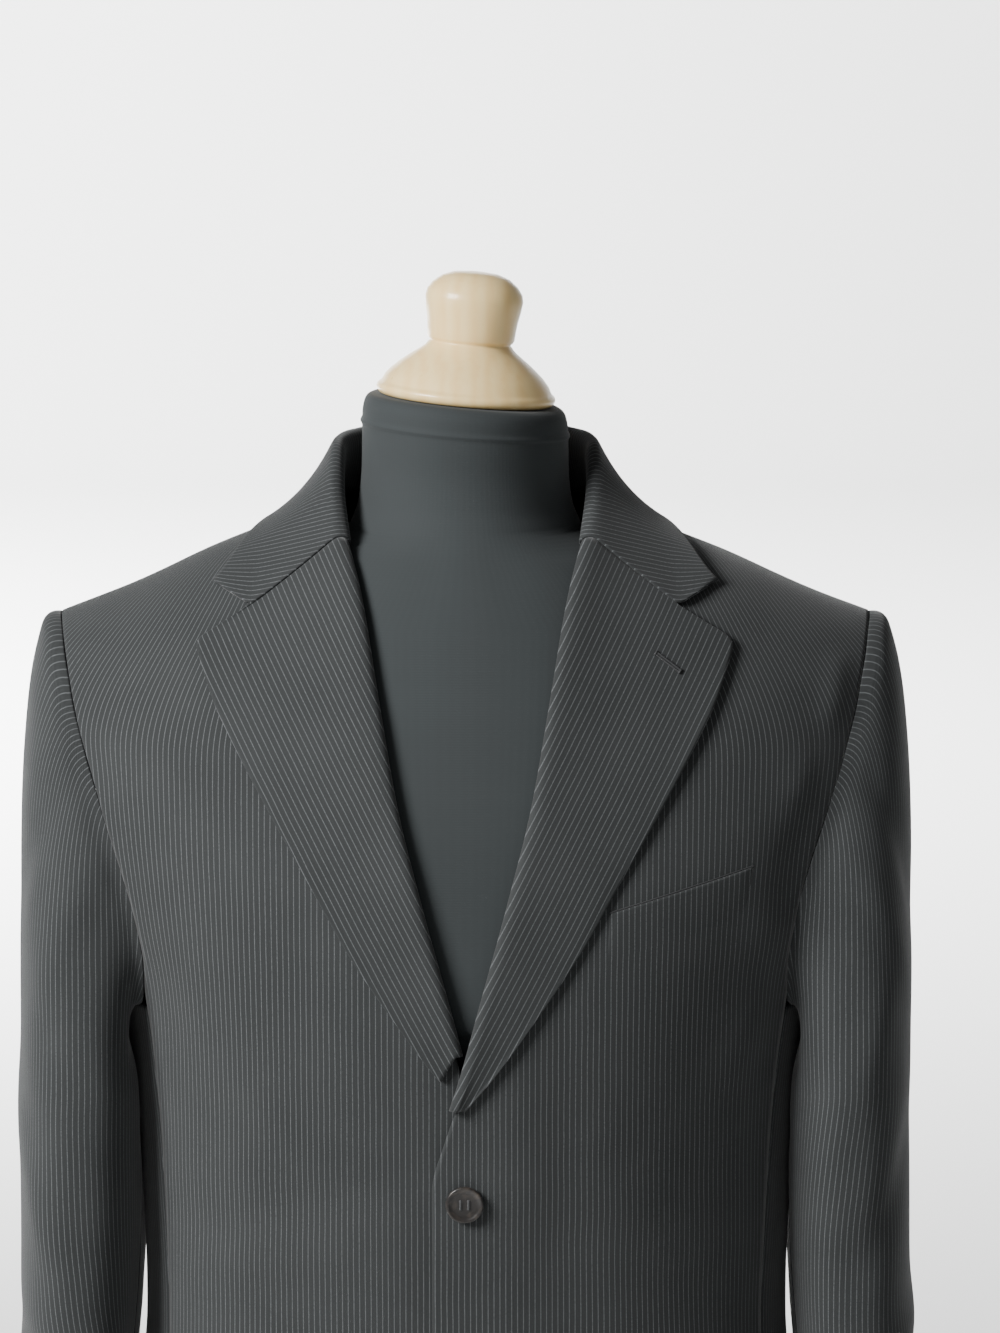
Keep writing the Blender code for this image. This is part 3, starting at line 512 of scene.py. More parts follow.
def cutPlan(grid, startU=None, flatX=False):
    # the flat cloth: u across from the row's start, v along each column
    rows, columns = len(grid), len(grid[0])
    middle = columns // 2
    plan = [[None] * columns for _ in range(rows)]
    along = [0.0] * columns
    for r in range(rows):
        total = [0.0]
        for c in range(1, columns):
            step = grid[r][c] - grid[r][c - 1]
            total.append(total[-1] + (math.hypot(step.x, step.y) if flatX else step.length))
        start = -total[middle] if startU is None else startU(grid[r][0])
        for c in range(columns):
            if r:
                along[c] += (grid[r][c] - grid[r - 1][c]).length
            plan[r][c] = (start + total[c], along[c])
    return plan


def layGrid(across, along, cornerAt):
    # a net of faces, each corner with its place and its spot on the flat cloth
    shape = bmesh.new()
    layer = shape.loops.layers.uv.new("cut")
    bmesh.ops.create_grid(shape, x_segments=across, y_segments=along, size=0.5, calc_uvs=False)
    flat = {}
    for vert in shape.verts:
        column, row = round((vert.co.x + 0.5) * across), round((vert.co.y + 0.5) * along)
        vert.co, flat[vert] = cornerAt(column, row)
    for face in shape.faces:
        for loop in face.loops:
            loop[layer].uv = flat[loop.vert]
    return shape


def clothPiece(name, place, across, along, thickness, nodes, plan=None, flip=False, mirror=False,
               closed=False):
    # a sheet laid through place(s, t), s across and t along from 0 to 1, with thickness inwards
    grid = [[place(c / across, r / along) for c in range(across + 1)] for r in range(along + 1)]
    laid = (plan or cutPlan)(grid)
    turnX = -1 if mirror else 1
    shape = layGrid(across, along, lambda c, r: (Vector((turnX, 1, 1)) * grid[r][c], laid[r][c]))
    if closed:
        bmesh.ops.remove_doubles(shape, verts=shape.verts, dist=weld)
    if flip != mirror:
        bmesh.ops.reverse_faces(shape, faces=shape.faces)
    piece = keepPiece(name, shape, suiting, nodes)
    wall = piece.modifiers.new("thickness", "SOLIDIFY")
    wall.thickness, wall.offset = thickness, -1.0
    wall.edge_crease_inner = wall.edge_crease_outer = 0.55
    soft = piece.modifiers.new("soft", "SUBSURF")
    soft.levels = soft.render_levels = 1
    return piece


def turnedPiece(name, profile, base, axis, finish, nodes, steps=96):
    # a shape spun from its profile of height and radius about an axis through base
    shape = bmesh.new()
    ring = [shape.verts.new((radius, 0.0, height)) for height, radius in profile]
    edges = [shape.edges.new(pair) for pair in zip(ring, ring[1:])]
    bmesh.ops.spin(shape, geom=ring + edges, cent=(0, 0, 0), axis=(0, 0, 1), angle=2 * math.pi,
                   steps=steps, use_merge=True, use_duplicate=False)
    bmesh.ops.remove_doubles(shape, verts=shape.verts, dist=weld)
    bmesh.ops.holes_fill(shape, edges=[edge for edge in shape.edges if edge.is_boundary], sides=0)
    bmesh.ops.recalc_face_normals(shape, faces=shape.faces)
    turn = Vector((0, 0, 1)).rotation_difference(Vector(axis).normalized())
    bmesh.ops.rotate(shape, verts=shape.verts, cent=(0, 0, 0), matrix=turn.to_matrix())
    bmesh.ops.translate(shape, verts=shape.verts, vec=Vector(base))
    return keepPiece(name, shape, finish, nodes)


# how the cloth falls: x and z of both ends, width, height, negative for a hollow
frontFolds = {
    1: [
        (0.204, 1.440, 0.176, 1.345, 0.0085, -0.0038), (0.196, 1.425, 0.166, 1.320, 0.0100, 0.0036),
        (0.186, 1.400, 0.158, 1.290, 0.0095, -0.0030), (0.208, 1.475, 0.200, 1.415, 0.0070, 0.0022),
        (0.172, 1.345, 0.150, 1.250, 0.0110, 0.0024), (0.100, 1.180, 0.020, 1.205, 0.0140, 0.0012),
        (0.140, 1.130, 0.020, 1.180, 0.0160, -0.0014), (0.165, 1.080, 0.050, 1.120, 0.0160, 0.0012),
    ],
    -1: [
        (0.204, 1.430, 0.178, 1.340, 0.0075, -0.0016), (0.196, 1.400, 0.172, 1.320, 0.0090, 0.0014),
        (0.176, 1.340, 0.160, 1.260, 0.0090, -0.0012), (0.110, 1.185, 0.020, 1.200, 0.0140, -0.0012),
        (0.150, 1.140, 0.030, 1.175, 0.0160, 0.0014), (0.160, 1.060, 0.060, 1.110, 0.0170, -0.0010),
    ],
}
# turn and z of both ends, width in degrees and in metres, height
sleeveFolds = {
    1: [
        (70, 1.440, 10, 1.330, 0.013, -0.0030), (95, 1.400, 30, 1.290, 0.013, 0.0024),
        (60, 1.300, 120, 1.180, 0.016, 0.0024), (20, 1.220, 95, 1.130, 0.016, -0.0026),
        (0, 1.110, 100, 1.060, 0.014, 0.0028), (40, 1.050, 130, 1.090, 0.012, -0.0024),
        (-60, 1.080, 40, 1.020, 0.015, 0.0020), (-90, 1.300, -30, 1.180, 0.018, -0.0022),
    ],
    -1: [
        (75, 1.430, 20, 1.340, 0.014, -0.0022), (100, 1.390, 50, 1.280, 0.015, 0.0022),
        (50, 1.290, 115, 1.200, 0.018, -0.0022), (10, 1.240, 90, 1.120, 0.016, 0.0024),
        (10, 1.100, 110, 1.070, 0.014, -0.0024), (50, 1.040, 130, 1.100, 0.012, 0.0026),
        (-60, 1.090, 30, 1.010, 0.015, -0.0018), (-90, 1.310, -30, 1.190, 0.018, 0.0020),
    ],
}


def foldHeight(a, b, folds, scaleA=1.0):
    # the sum of soft ridges near (a, b), each fading out towards its ends
    height = 0.0
    for a0, b0, a1, b1, width, top in folds:
        runA, runB = (a1 - a0) * scaleA, b1 - b0
        offA, offB = (a - a0) * scaleA, b - b0
        share = (offA * runA + offB * runB) / (runA**2 + runB**2)
        if not -0.3 < share < 1.3:
            continue
        nearest = min(1.0, max(0.0, share))
        away = math.hypot(offA - runA * nearest, offB - runB * nearest)
        if away < 3 * width:
            fade = ramp(-0.3, 0.25, share) * (1 - ramp(0.65, 1.3, share))
            height += top * math.exp(-((away / width) ** 2)) * fade
    return height


def ripple(point, hand):
    # the slight unevenness of worn cloth, the same on both sides of a seam
    low = noise.noise(Vector((point.x * 13 * hand, point.y * 13, point.z * 6 + 7 * hand)))
    fine = noise.noise(Vector((point.x * 38 * hand, point.y * 38, point.z * 20 - 3 * hand)))
    return 0.0013 * low + 0.0004 * fine


def bodySkin(point, normal, hand, side):
    raised = ripple(point, hand)
    if side < 0:
        raised += foldHeight(point.x, point.z, frontFolds[hand])
    else:
        raised += 0.0012 * bump(0.075, 0.012, point.x) * bump(1.40, 0.05, point.z)
        waist = noise.noise(Vector((point.x * 5 * hand, 3.0, point.z * 11)))
        raised += 0.0016 * waist * bump(1.14, 0.06, point.z)
    return point + normal * raised


def frontSkin(x, z, lift, hand):
    return bodySkin(liftedPoint(x, z, lift), jacketNormal(x, z, -1), hand, -1)


# the jacket's body

bodySplit = 0.65625  # the share of a panel's rows that lies below the underarm
bodyGrid = {"across": 40, "rows": 128, "sideAcross": 16, "sideRows": 84}
solvedEdges = {}


def edgeAt(rows, name, rise):
    key = (name, round(rise, 6))
    if key not in solvedEdges:
        z = suit["underarm"] + 0.25 * rise
        for _ in range(30):
            x = glide(rows, z)
            z = suit["underarm"] + (ridgeZ(x) - suit["underarm"]) * rise
        solvedEdges[key] = x
    return solvedEdges[key]


def bodyPlace(side, hand):
    lift = suit["overlapLift"] if hand > 0 else 0.0
    low, bottom, gap = suit["underarm"], suit["bottom"], suit["clearance"]

    def place(s, t):
        if t <= bodySplit + 1e-9:
            z = bottom + (low - bottom) * t / bodySplit
            if side < 0:
                inner, outer = glide(frontEdge, z), ringX(z, suit["frontSeamAngle"]) - gap
            else:
                inner, outer = 0.00015, ringX(z, suit["backSeamAngle"]) - gap
            x = inner + (outer - inner) * s
            point = liftedPoint(x, z, lift) if side < 0 else jacketPoint(x, z, 1)
            return bodySkin(point, jacketNormal(x, z, side), hand, side)
        angle = 90 * (t - bodySplit) / (1 - bodySplit)
        rise = math.sin(math.radians(angle))
        q = max(1 - angle / 90, 0.0014)
        if side < 0:
            inner, outer = edgeAt(frontEdge, "edge", rise), edgeAt(armholeFront, "front", rise)
            x = inner + (outer - gap - inner) * s
            point = upperPoint(x, -q)
            point.y -= overlapLift(x, point.z, lift)
            return bodySkin(point, upperNormal(x, -q), hand, side)
        outer = edgeAt(armholeBack, "back", rise) - gap
        x = 0.00015 + (outer - 0.00015) * s
        q += necklineQ(x) * (1 - q) ** 2
        return bodySkin(upperPoint(x, q), upperNormal(x, q), hand, side)

    return place


def leanIn(z):
    # stripes lean towards the neck over the shoulder
    return 1 + 0.30 * ramp(1.43, 1.56, z)


def bodyPlan(side):
    def plan(grid):
        laid = cutPlan(grid, lambda first: arcAlong(first.x, first.z, side), flatX=True)
        return [[(u * leanIn(point.z), v) for (u, v), point in zip(row, points)]
                for row, points in zip(laid, grid)]

    return plan


def sidePlace(hand):
    def place(s, t):
        z = suit["bottom"] + (suit["underarm"] - suit["bottom"]) * t
        angle = suit["frontSeamAngle"] + 0.05 + (suit["backSeamAngle"] - suit["frontSeamAngle"] - 0.1) * s
        point = ringPoint(z, angle)
        normal = faceNormal(lambda a, b: ringPoint(b, a), angle, z, 1.0, 0.004, (1, 0.2, 0))
        return bodySkin(point, normal, hand, -1 if angle <= 90 else 1)

    return place


handNames = ((1, "left"), (-1, "right"))
cloth = suit["jacketCloth"]
for hand, handName in handNames:
    mirror, halves = hand < 0, [f"front_{handName}", f"back_{handName}"]
    piece = clothPiece(halves[0], bodyPlace(-1, hand), bodyGrid["across"], bodyGrid["rows"], cloth,
                       [f"jacket_front_{handName}"], plan=bodyPlan(-1), mirror=mirror)
    piece = clothPiece(halves[1], bodyPlace(1, hand), bodyGrid["across"], bodyGrid["rows"], cloth,
                       [f"jacket_back_{handName}"], plan=bodyPlan(1), flip=True, mirror=mirror)
    piece = clothPiece(f"side_{handName}", sidePlace(hand), bodyGrid["sideAcross"], bodyGrid["sideRows"],
                       cloth, [f"jacket_side_{handName}"], mirror=mirror)
print("jacket body made")


# lapels and collar

lapel = {
    "turn": 0.91,  # share of the rows below the peak
    "lift": 0.0030,
    "bloom": 0.0024,  # how much fuller the lapel stands near its roll
    "bottom": {1: (1.242, 1.242), -1: (1.272, 1.257)},
    "rollColumns": 7,
    "faceColumns": 24,
    "rows": 60,
    "stripeRun": (0.1055, 0.1985),  # how far the stripes go out, and up
}
# the section of the rolled edge: away from the panel, above it
softRoll = [
    (0.0010, -0.0015), (0.0026, -0.0013), (0.0039, -0.0004), (0.0045, 0.0012), (0.0042, 0.0030),
    (0.0028, 0.0044), (0.0008, 0.0051),
]


def lapelOuter(share, low):
    if share <= lapel["turn"]:
        z = low + (suit["lapelPeak"][1] - low) * share / lapel["turn"]
        return glide(lapelEdge, z), z
    t = (share - lapel["turn"]) / (1 - lapel["turn"])
    return tuple(p + (n - p) * t for p, n in zip(suit["lapelPeak"], suit["notchInner"]))


def lapelRoll(share, bottom, lift, hand, step):
    z = bottom[0] + (suit["gorge"] - bottom[0]) * share
    x = glide(frontEdge, z)
    away, above = softRoll[step]
    return frontSkin(x, z, lift, hand) + Vector((-away, 0, 0)) + jacketNormal(x, z, -1) * above


def lapelFace(share, across, bottom, lift, hand):
    z = bottom[0] + (suit["gorge"] - bottom[0]) * share
    inner = glide(frontEdge, z)
    outX, outZ = lapelOuter(share, bottom[1])
    x, level = inner + (outX - inner) * across, z + (outZ - z) * across
    height = lapel["lift"] + lapel["bloom"] * (1 - across) ** 2
    # the edge lifts a little here and there
    height += 0.0006 * ramp(0.86, 1.0, across) * math.sin(9 * share + hand)
    return frontSkin(x, level, lift, hand) + jacketNormal(x, level, -1) * height


def lapelPlace(hand):
    bottom = lapel["bottom"][hand]
    lift = suit["overlapLift"] if hand > 0 else 0.0
    last = lapel["rollColumns"] + lapel["faceColumns"] - 1

    def place(s, t):
        column = round(s * last)
        if column < lapel["rollColumns"]:
            return lapelRoll(t, bottom, lift, hand, column)
        across = 0.05 + 0.95 * (column - lapel["rollColumns"]) / (lapel["faceColumns"] - 1)
        return lapelFace(t, across, bottom, lift, hand)

    return place


def lapelPlan(grid):
    # stripes run with the lapel's long edge
    lean = math.atan2(*lapel["stripeRun"])
    c, s = math.cos(lean), math.sin(lean)
    return [[(p.x * c - p.z * s, p.x * s + p.z * c) for p in row] for row in grid]


collar = {"columns": 25, "rows": 96, "sag": 0.0040, "notchShare": 0.71, "blend": 0.13}


def collarEnd(column, hand):
    # the collar's front end: beside the lapel along the gorge, then out to its corner
    gap = Vector((0, 0, -0.0005))  # the seam is drawn tight
    bottom = lapel["bottom"][1]
    if column < lapel["rollColumns"]:
        return lapelRoll(1.0, bottom, 0.0, hand, column) + gap
    across = 0.04 + 0.96 * (column - lapel["rollColumns"]) / (collar["columns"] - 1 - lapel["rollColumns"])
    notch = collar["notchShare"]
    if across <= notch:
        return lapelFace(1.0, max(0.05, across / notch), bottom, 0.0, hand) + gap
    share = (across - notch) / (1 - notch)
    x, z = (n + (c - n) * share for n, c in zip(suit["notchInner"], suit["collarCorner"]))
    return frontSkin(x, z, 0.0, hand) + jacketNormal(x, z, -1) * (lapel["lift"] + 0.0004 * share) + gap


def collarPoint(column, along, hand):
    seamX, seamQ, foldX, foldY, rise, edgeX, edgeQ = (glide(collarRows, along, k) for k in range(1, 8))
    base, normal = upperPoint(seamX, seamQ), upperNormal(seamX, seamQ)
    inward = Vector((0 - base.x, 0.005 - base.y, 0)).normalized()
    reach = Vector((foldX, foldY, rise))
    steps = lapel["rollColumns"]
    shares = (0.0, 0.30, 0.62, 0.84, 0.95, 1.0, 1.0)

    def section(step):
        away, above = softRoll[step]
        return base + inward * away + normal * above + reach * shares[step]

    if column < steps:
        point = section(column)
    else:
        fold, outward = section(steps - 1), upperNormal(edgeX, edgeQ)
        edge = upperPoint(edgeX, edgeQ) + outward * (lapel["lift"] - 0.0004)
        across = 0.04 + 0.96 * (column - steps) / (collar["columns"] - 1 - steps)
        point = fold + (edge - fold) * across - outward * collar["sag"] * 4 * across * (1 - across)
    if along < collar["blend"]:
        share = ramp(0.0, collar["blend"], along)
        point = collarEnd(column, hand).lerp(point, share)
    return point


def collarPlace(s, t):
    column = round(s * (collar["columns"] - 1))
    hand, along = (-1, 2 * t) if t <= 0.5 else (1, 2 - 2 * t)
    point = collarPoint(column, along, hand)
    return Vector((hand * point.x, point.y, point.z))


def collarPlan(grid):
    # stripes cross the collar from its fold to its edge, and lie level towards the front
    rows = len(grid)
    fold = lapel["rollColumns"]
    length = [0.0]
    for r in range(1, rows):
        length.append(length[-1] + (grid[r][fold] - grid[r - 1][fold]).length)
    middle = length[(rows - 1) // 2]
    plan = []
    for r, row in enumerate(grid):
        along = 1 - abs(2 * r / (rows - 1) - 1)
        share = 1 - ramp(0.05, 0.42, along)
        toCentre = middle - abs(length[r] - middle)
        plan.append([(toCentre + share * (p.z - row[fold].z) + 0.10 * (p - row[fold]).length * (1 - share),
                      (p - row[0]).length) for p in row])
    return plan


for hand, handName in handNames:
    columns = lapel["rollColumns"] + lapel["faceColumns"] - 1
    piece = clothPiece(f"lapel_cloth_{handName}", lapelPlace(hand), columns, lapel["rows"], cloth,
                       [f"lapel_{handName}"], plan=lapelPlan, mirror=hand < 0)
piece = clothPiece("collar_cloth", collarPlace, collar["columns"] - 1, collar["rows"], cloth, ["collar"],
                   plan=collarPlan)
print("lapels and collar made")


# sleeves

sleeve = {
    "ringZ": 1.235,
    "cuffZ": 0.872,
    "squareness": 2.6,
    "capShare": 0.40,
    "gap": -0.0004,
    "bodyGap": 0.0045,
    "roping": 0.0045,
    "columns": {"top": 54, "under": 22},
    "rows": 96,
}


def armholePath():
    # points round the armhole from the shoulder tip down the front, each with the way off the panel
    path = []

    def add(point, inside):
        path.append((point, (point - inside).normalized()))

    for k in range(60, -1, -1):
        rise = math.sin(math.radians(90 * k / 60))
        q = -max(1 - k / 60, 0.0014)
        x = edgeAt(armholeFront, "front", rise)
        add(upperPoint(x, q), upperPoint(x - 0.006, q))
    for k in range(1, 24):
        angle = suit["frontSeamAngle"] + (suit["backSeamAngle"] - suit["frontSeamAngle"]) * k / 24
        add(ringPoint(suit["underarm"], angle), ringPoint(suit["underarm"] - 0.008, angle))
    for k in range(61):
        rise = math.sin(math.radians(90 * k / 60))
        q = max(1 - k / 60, 0.0014)
        x = edgeAt(armholeBack, "back", rise)
        add(upperPoint(x, q), upperPoint(x - 0.006, q))
    return path


armhole = armholePath()
armLengths = [0.0]
for (a, _), (b, _) in zip(armhole, armhole[1:]):
    armLengths.append(armLengths[-1] + (b - a).length)


def armholeAt(turn):
    want = (turn % 360) / 360 * armLengths[-1]
    k = max(0, min(len(armLengths) - 2, sum(1 for length in armLengths if length <= want) - 1))
    share = (want - armLengths[k]) / (armLengths[k + 1] - armLengths[k])
    (low, lowAway), (high, highAway) = armhole[k], armhole[k + 1]
    return low.lerp(high, share), lowAway.lerp(highAway, share).normalized()


def turnOf(index):
    return 360 * armLengths[index] / armLengths[-1]


frontSeamTurn = turnOf(61 + 5)  # under the arm, just behind the front
backSeamTurn = turnOf(61 + 23 + 19) - 360


def bodyClearX(y, z):
    level = min(z, suit["underarm"])
    depth = glide(jacketRings, level, 2 if y < 0 else 3)
    return glide(jacketRings, level) * roundOff(abs(y) / depth) + sleeve["bodyGap"]


def sleeveRing(z, turn):
    cx, cy, halfWidth, halfDepth = (glide(sleeveRings, z, k) for k in range(1, 5))
    out, ahead = math.cos(math.radians(turn)), math.sin(math.radians(turn))
    power = 2 / sleeve["squareness"]
    x = cx + halfWidth * math.copysign(abs(out) ** power, out)
    y = cy - halfDepth * math.copysign(abs(ahead) ** power, ahead)
    return Vector((max(x, bodyClearX(y, z)), y, z))


def sleevePoint(turn, t, hand):
    if t < sleeve["capShare"]:
        share = t / sleeve["capShare"]
        start, away = armholeAt(turn)
        start = start + away * sleeve["gap"] - Vector((0, 0, 0.0003))
        under = 0.5 - 0.5 * math.cos(math.radians(turn))
        end = sleeveRing(sleeve["ringZ"], turn)
        drop = (start.z - sleeve["ringZ"]) * (0.62 - 0.15 * under)
        first = start + Vector((0.026 * (1 - under) + 0.008 * under, 0, 0.004 * (1 - under) ** 3))
        second = end + Vector((0, 0, drop))
        keep = 1 - share
        point = start * keep**3 + first * 3 * share * keep**2
        point += second * 3 * share**2 * keep + end * share**3
        fullness = math.exp(-(((share - 0.10) / 0.09) ** 2)) * (1 - under) ** 1.5
        point += (away + Vector((0, 0, 0.6))).normalized() * sleeve["roping"] * 0.45 * fullness
        point += away * 0.0008 * fullness * math.sin(turn * 0.35)
    else:
        share = (t - sleeve["capShare"]) / (1 - sleeve["capShare"])
        z = sleeve["ringZ"] + (sleeve["cuffZ"] - sleeve["ringZ"]) * share
        point = sleeveRing(z, turn)
    radial = Vector((math.cos(math.radians(turn)), -math.sin(math.radians(turn)), 0))
    outer = 0.5 + 0.5 * math.cos(math.radians(turn - 40))
    signed = (turn + 180) % 360 - 180
    depth = foldHeight(signed, point.z, sleeveFolds[hand], scaleA=0.0011) * ramp(0.0, 0.15, t)
    uneven = ripple(point, hand) * (0.3 + 0.7 * outer) * ramp(0.0, 0.1, t)
    return point + radial * (depth * outer + uneven)


def sleevePlace(hand, fromTurn, toTurn):
    def place(s, t):
        return sleevePoint(fromTurn + (toTurn - fromTurn) * s, t, hand)

    return place


def sleevePlan(fromTurn, toTurn):
    # stripes run round the arm from its outer side, and stay upright over the front and back of the cap
    def plan(grid):
        rows, columns = len(grid), len(grid[0])
        turns = [fromTurn + (toTurn - fromTurn) * c / (columns - 1) for c in range(columns)]
        zero = min(range(columns), key=lambda c: abs(turns[c]))
        ringRow = round(sleeve["capShare"] * (rows - 1))

        def lengths(row):
            total = [0.0]
            for a, b in zip(row, row[1:]):
                total.append(total[-1] + math.hypot(b.x - a.x, b.y - a.y))
            return [u - total[zero] for u in total]

        ring = lengths(grid[ringRow])

        def uprightU(x, way):
            # where the ring has that x, on its front or its back
            found = [c for c in range(columns) if 20 < turns[c] * way < 125]
            found.sort(key=lambda c: grid[ringRow][c].x)
            near = found[0]
            for low, high in zip(found, found[1:]):
                a, b = grid[ringRow][low].x, grid[ringRow][high].x
                if a <= x <= b:
                    return ring[low] + (ring[high] - ring[low]) * (x - a) / max(1e-9, b - a)
                near = high if x > b else near
            return ring[near] - way * (x - grid[ringRow][near].x)

        plan = []
        for r, row in enumerate(grid):
            plain = lengths(row)
            laid = list(plain)
            if r < ringRow and fromTurn < 0:
                for way in (1, -1):
                    side = [c for c in range(columns) if turns[c] * way > 0]
                    side.sort(key=lambda c: abs(turns[c]))
                    last = None
                    for c in side:
                        if abs(turns[c]) <= 100:
                            upright = uprightU(row[c].x, way)
                            last = upright - plain[c]
                        laid[c] = plain[c] + last * ramp(30, 85, abs(turns[c]))
            plan.append([(u, p.z) for u, p in zip(laid, row)])
        return plan

    return plan


sleeveParts = (
    ("top", backSeamTurn + 0.08, frontSeamTurn - 0.08, (0.37, 0.66), 0.155),
    ("under", frontSeamTurn + 0.08, backSeamTurn + 360 - 0.08, (0.17, 0.56), 0.060),
)
for hand, handName in handNames:
    for part, fromTurn, toTurn, flat, area in sleeveParts:
        piece = clothPiece(f"{part}_sleeve_{handName}", sleevePlace(hand, fromTurn, toTurn),
                           sleeve["columns"][part], sleeve["rows"], cloth, [f"sleeve_{part}_{handName}"],
                           plan=sleevePlan(fromTurn, toTurn), mirror=hand < 0)
print("sleeves made")


# trousers

trousers = {"across": 44, "rows": 110, "hem": 0.036, "top": 1.0565, "gap": 0.0001}


def trouserPoint(z, angle):
    cx, cy, halfWidth, halfDepth, crease = (glide(trouserRings, z, k) for k in range(1, 6))
    turn = math.radians(angle)
    sharp = crease * (0.6 * math.exp(-abs(math.cos(turn)) * 5) + 0.4 * math.exp(-abs(math.cos(turn)) * 22))
    return Vector((cx + halfWidth * math.cos(turn), cy - (halfDepth + sharp) * math.sin(turn), z))


def trouserPlace(side, hand):
    def place(s, t):
        z = trousers["hem"] + (trousers["top"] - trousers["hem"]) * t
        halfWidth = glide(trouserRings, z, 3)
        trim = math.degrees(trousers["gap"] / halfWidth)
        share = (0.0003 - glide(trouserRings, z, 1)) / halfWidth
        inner = 180 - trim if share <= -1 else math.degrees(math.acos(share))
        crease = 90 + (0.52 * inner - 90) * ramp(0.86, 1.0, z)
        angle = trim + (crease - trim) * 2 * s if s <= 0.5 else crease + (inner - crease) * (2 * s - 1)
        point = trouserPoint(z, side * angle)
        spread = math.sin(math.radians(angle)) ** 2 * (1 - ramp(0.80, 0.86, z))
        knee = 0.0022 * noise.noise(Vector((point.x * 14 * hand, side * 4.0, z * 9)))
        breaks = 0.0030 * bump(0.12, 0.05, z) * math.sin(z * 110 + 3 * s + hand) * (side > 0)
        breaks -= 0.0024 * bump(0.13, 0.04, z) * bump(0.5, 0.25, s) * math.sin(z * 95 + hand) * (side < 0)
        point.y += -side * (knee + breaks) * spread
        return point

    return place


for hand, handName in handNames:
    for side, sideName in ((1, "front"), (-1, "back")):
        piece = clothPiece(f"leg_{sideName}_{handName}", trouserPlace(side, hand), trousers["across"],
                           trousers["rows"], suit["trouserCloth"], [f"trouser_{sideName}_{handName}"],
                           flip=side > 0, mirror=hand < 0)


def bandPlace(s, t):
    turn = 2 * math.pi * s
    return Vector((0.1667 * math.sin(turn), 0.0015 - 0.1130 * math.cos(turn), 1.0576 + 0.0372 * t))


piece = clothPiece("band", bandPlace, 120, 6, 0.0022, ["waistband"], closed=True)
print("trousers made")


# pockets and buttons

patches = {
    "breast_welt": [(0.0775, 1.3210), (0.1560, 1.3420), (0.0795, 1.3490), (0.1600, 1.3700)],
    # the pocket's opening: the dark strip laid here is painted shadow
    "mouth": [(0.0795, 1.3490), (0.1600, 1.3700), (0.0796, 1.3500), (0.1601, 1.3710)],
    "pocket_flap": [(0.0850, 0.9950), (0.1620, 1.0020), (0.0850, 1.0480), (0.1620, 1.0550)],
}


def patchPlace(corners, lift, hand, ends=0.0):
    # lift is how far its bottom and top edges stand, ends the share of its width that is sewn down
    def place(s, t):
        low = [a + (b - a) * s for a, b in zip(corners[0], corners[1])]
        top = [a + (b - a) * s for a, b in zip(corners[2], corners[3])]
        x, z = (a + (b - a) * t for a, b in zip(low, top))
        inside = ramp(0.0, ends, s) * (1 - ramp(1 - ends, 1.0, s)) if ends else 1.0
        height = lift[0] + (lift[1] - lift[0]) * t * inside
        return frontSkin(x, z, 0.0, hand) + jacketNormal(x, z, -1) * height

    return place


def patchPlan(grid):
    # in line with the stripes of the front underneath
    return [[(arcAlong(p.x, p.z, -1) * leanIn(p.z), p.z) for p in row] for row in grid]


piece = clothPiece("welt", patchPlace(patches["breast_welt"], (-0.0001, 0.0010), 1, 0.06), 28, 10, 0.0010,
                   ["breast_welt"], plan=patchPlan)
# a thin dark strip in the thread finish along the welt's top edge, painted shadow of the pocket's opening
piece = clothPiece("welt_mouth_painted_shadow", patchPlace(patches["mouth"], (0.0001, 0.0003), 1), 28, 2, 0.0003, [],
                   plan=patchPlan)
piece.data.materials[0] = thread
for hand, handName in handNames:
    piece = clothPiece(f"flap_{handName}", patchPlace(patches["pocket_flap"], (0.0026, 0.0014), hand), 24, 16,
                       0.0012, [f"pocket_flap_{handName}"], plan=patchPlan, mirror=hand < 0)

button = {
    # height and radius as shares of the button's radius
    "profile": [
        (0.0, 0.78), (0.05, 0.90), (0.14, 0.985), (0.22, 1.0), (0.29, 0.975), (0.318, 0.93), (0.315, 0.87),
        (0.285, 0.81), (0.245, 0.74), (0.228, 0.62), (0.225, 0.30),
    ],
    "holeRadius": 0.085,
    "holeSpacing": 0.21,
}


def addBlock(shape, size, middle):
    made = bmesh.ops.create_cube(shape, size=1.0)["verts"]
    for vert in made:
        vert.co = Vector(size) * vert.co
    bmesh.ops.translate(shape, verts=made, vec=middle)


def setInto(shape, origin, side, up, normal):
    for vert in shape.verts:
        x, y, z = vert.co
        vert.co = origin + side * x + up * y + normal * z


def addButton(name, base, normal, radius, nodes):
    profile = [(h * radius, r * radius) for h, r in button["profile"]]
    turnedPiece(f"{name}_horn", profile, base, normal, hornFinish, nodes, steps=64)
    # four holes filled by the sewing thread, and the thread's two bars
    up = Vector((0, 0, 1))
    side = normal.cross(up).normalized()
    up = side.cross(normal).normalized()
    spacing, hole = button["holeSpacing"] * radius, button["holeRadius"] * radius
    shape = bmesh.new()
    for a in (-1, 1):
        bar = (0.13 * radius, 2 * spacing + 0.13 * radius, 0.09 * radius)
        addBlock(shape, bar, (a * spacing, 0, 0.262 * radius))
    bmesh.ops.bevel(shape, geom=shape.edges[:], offset=0.035 * radius, affect="EDGES", segments=2,
                    profile=0.5, material=-1)
    for a in (-1, 1):
        for b in (-1, 1):
            made = bmesh.ops.create_cone(shape, cap_ends=True, segments=16, radius1=hole, radius2=hole,
                                         depth=0.02 * radius)["verts"]
            bmesh.ops.translate(shape, verts=made, vec=(a * spacing, b * spacing, 0.228 * radius))
    setInto(shape, base, side, up, normal)
    keepPiece(f"{name}_thread", shape, thread, [])


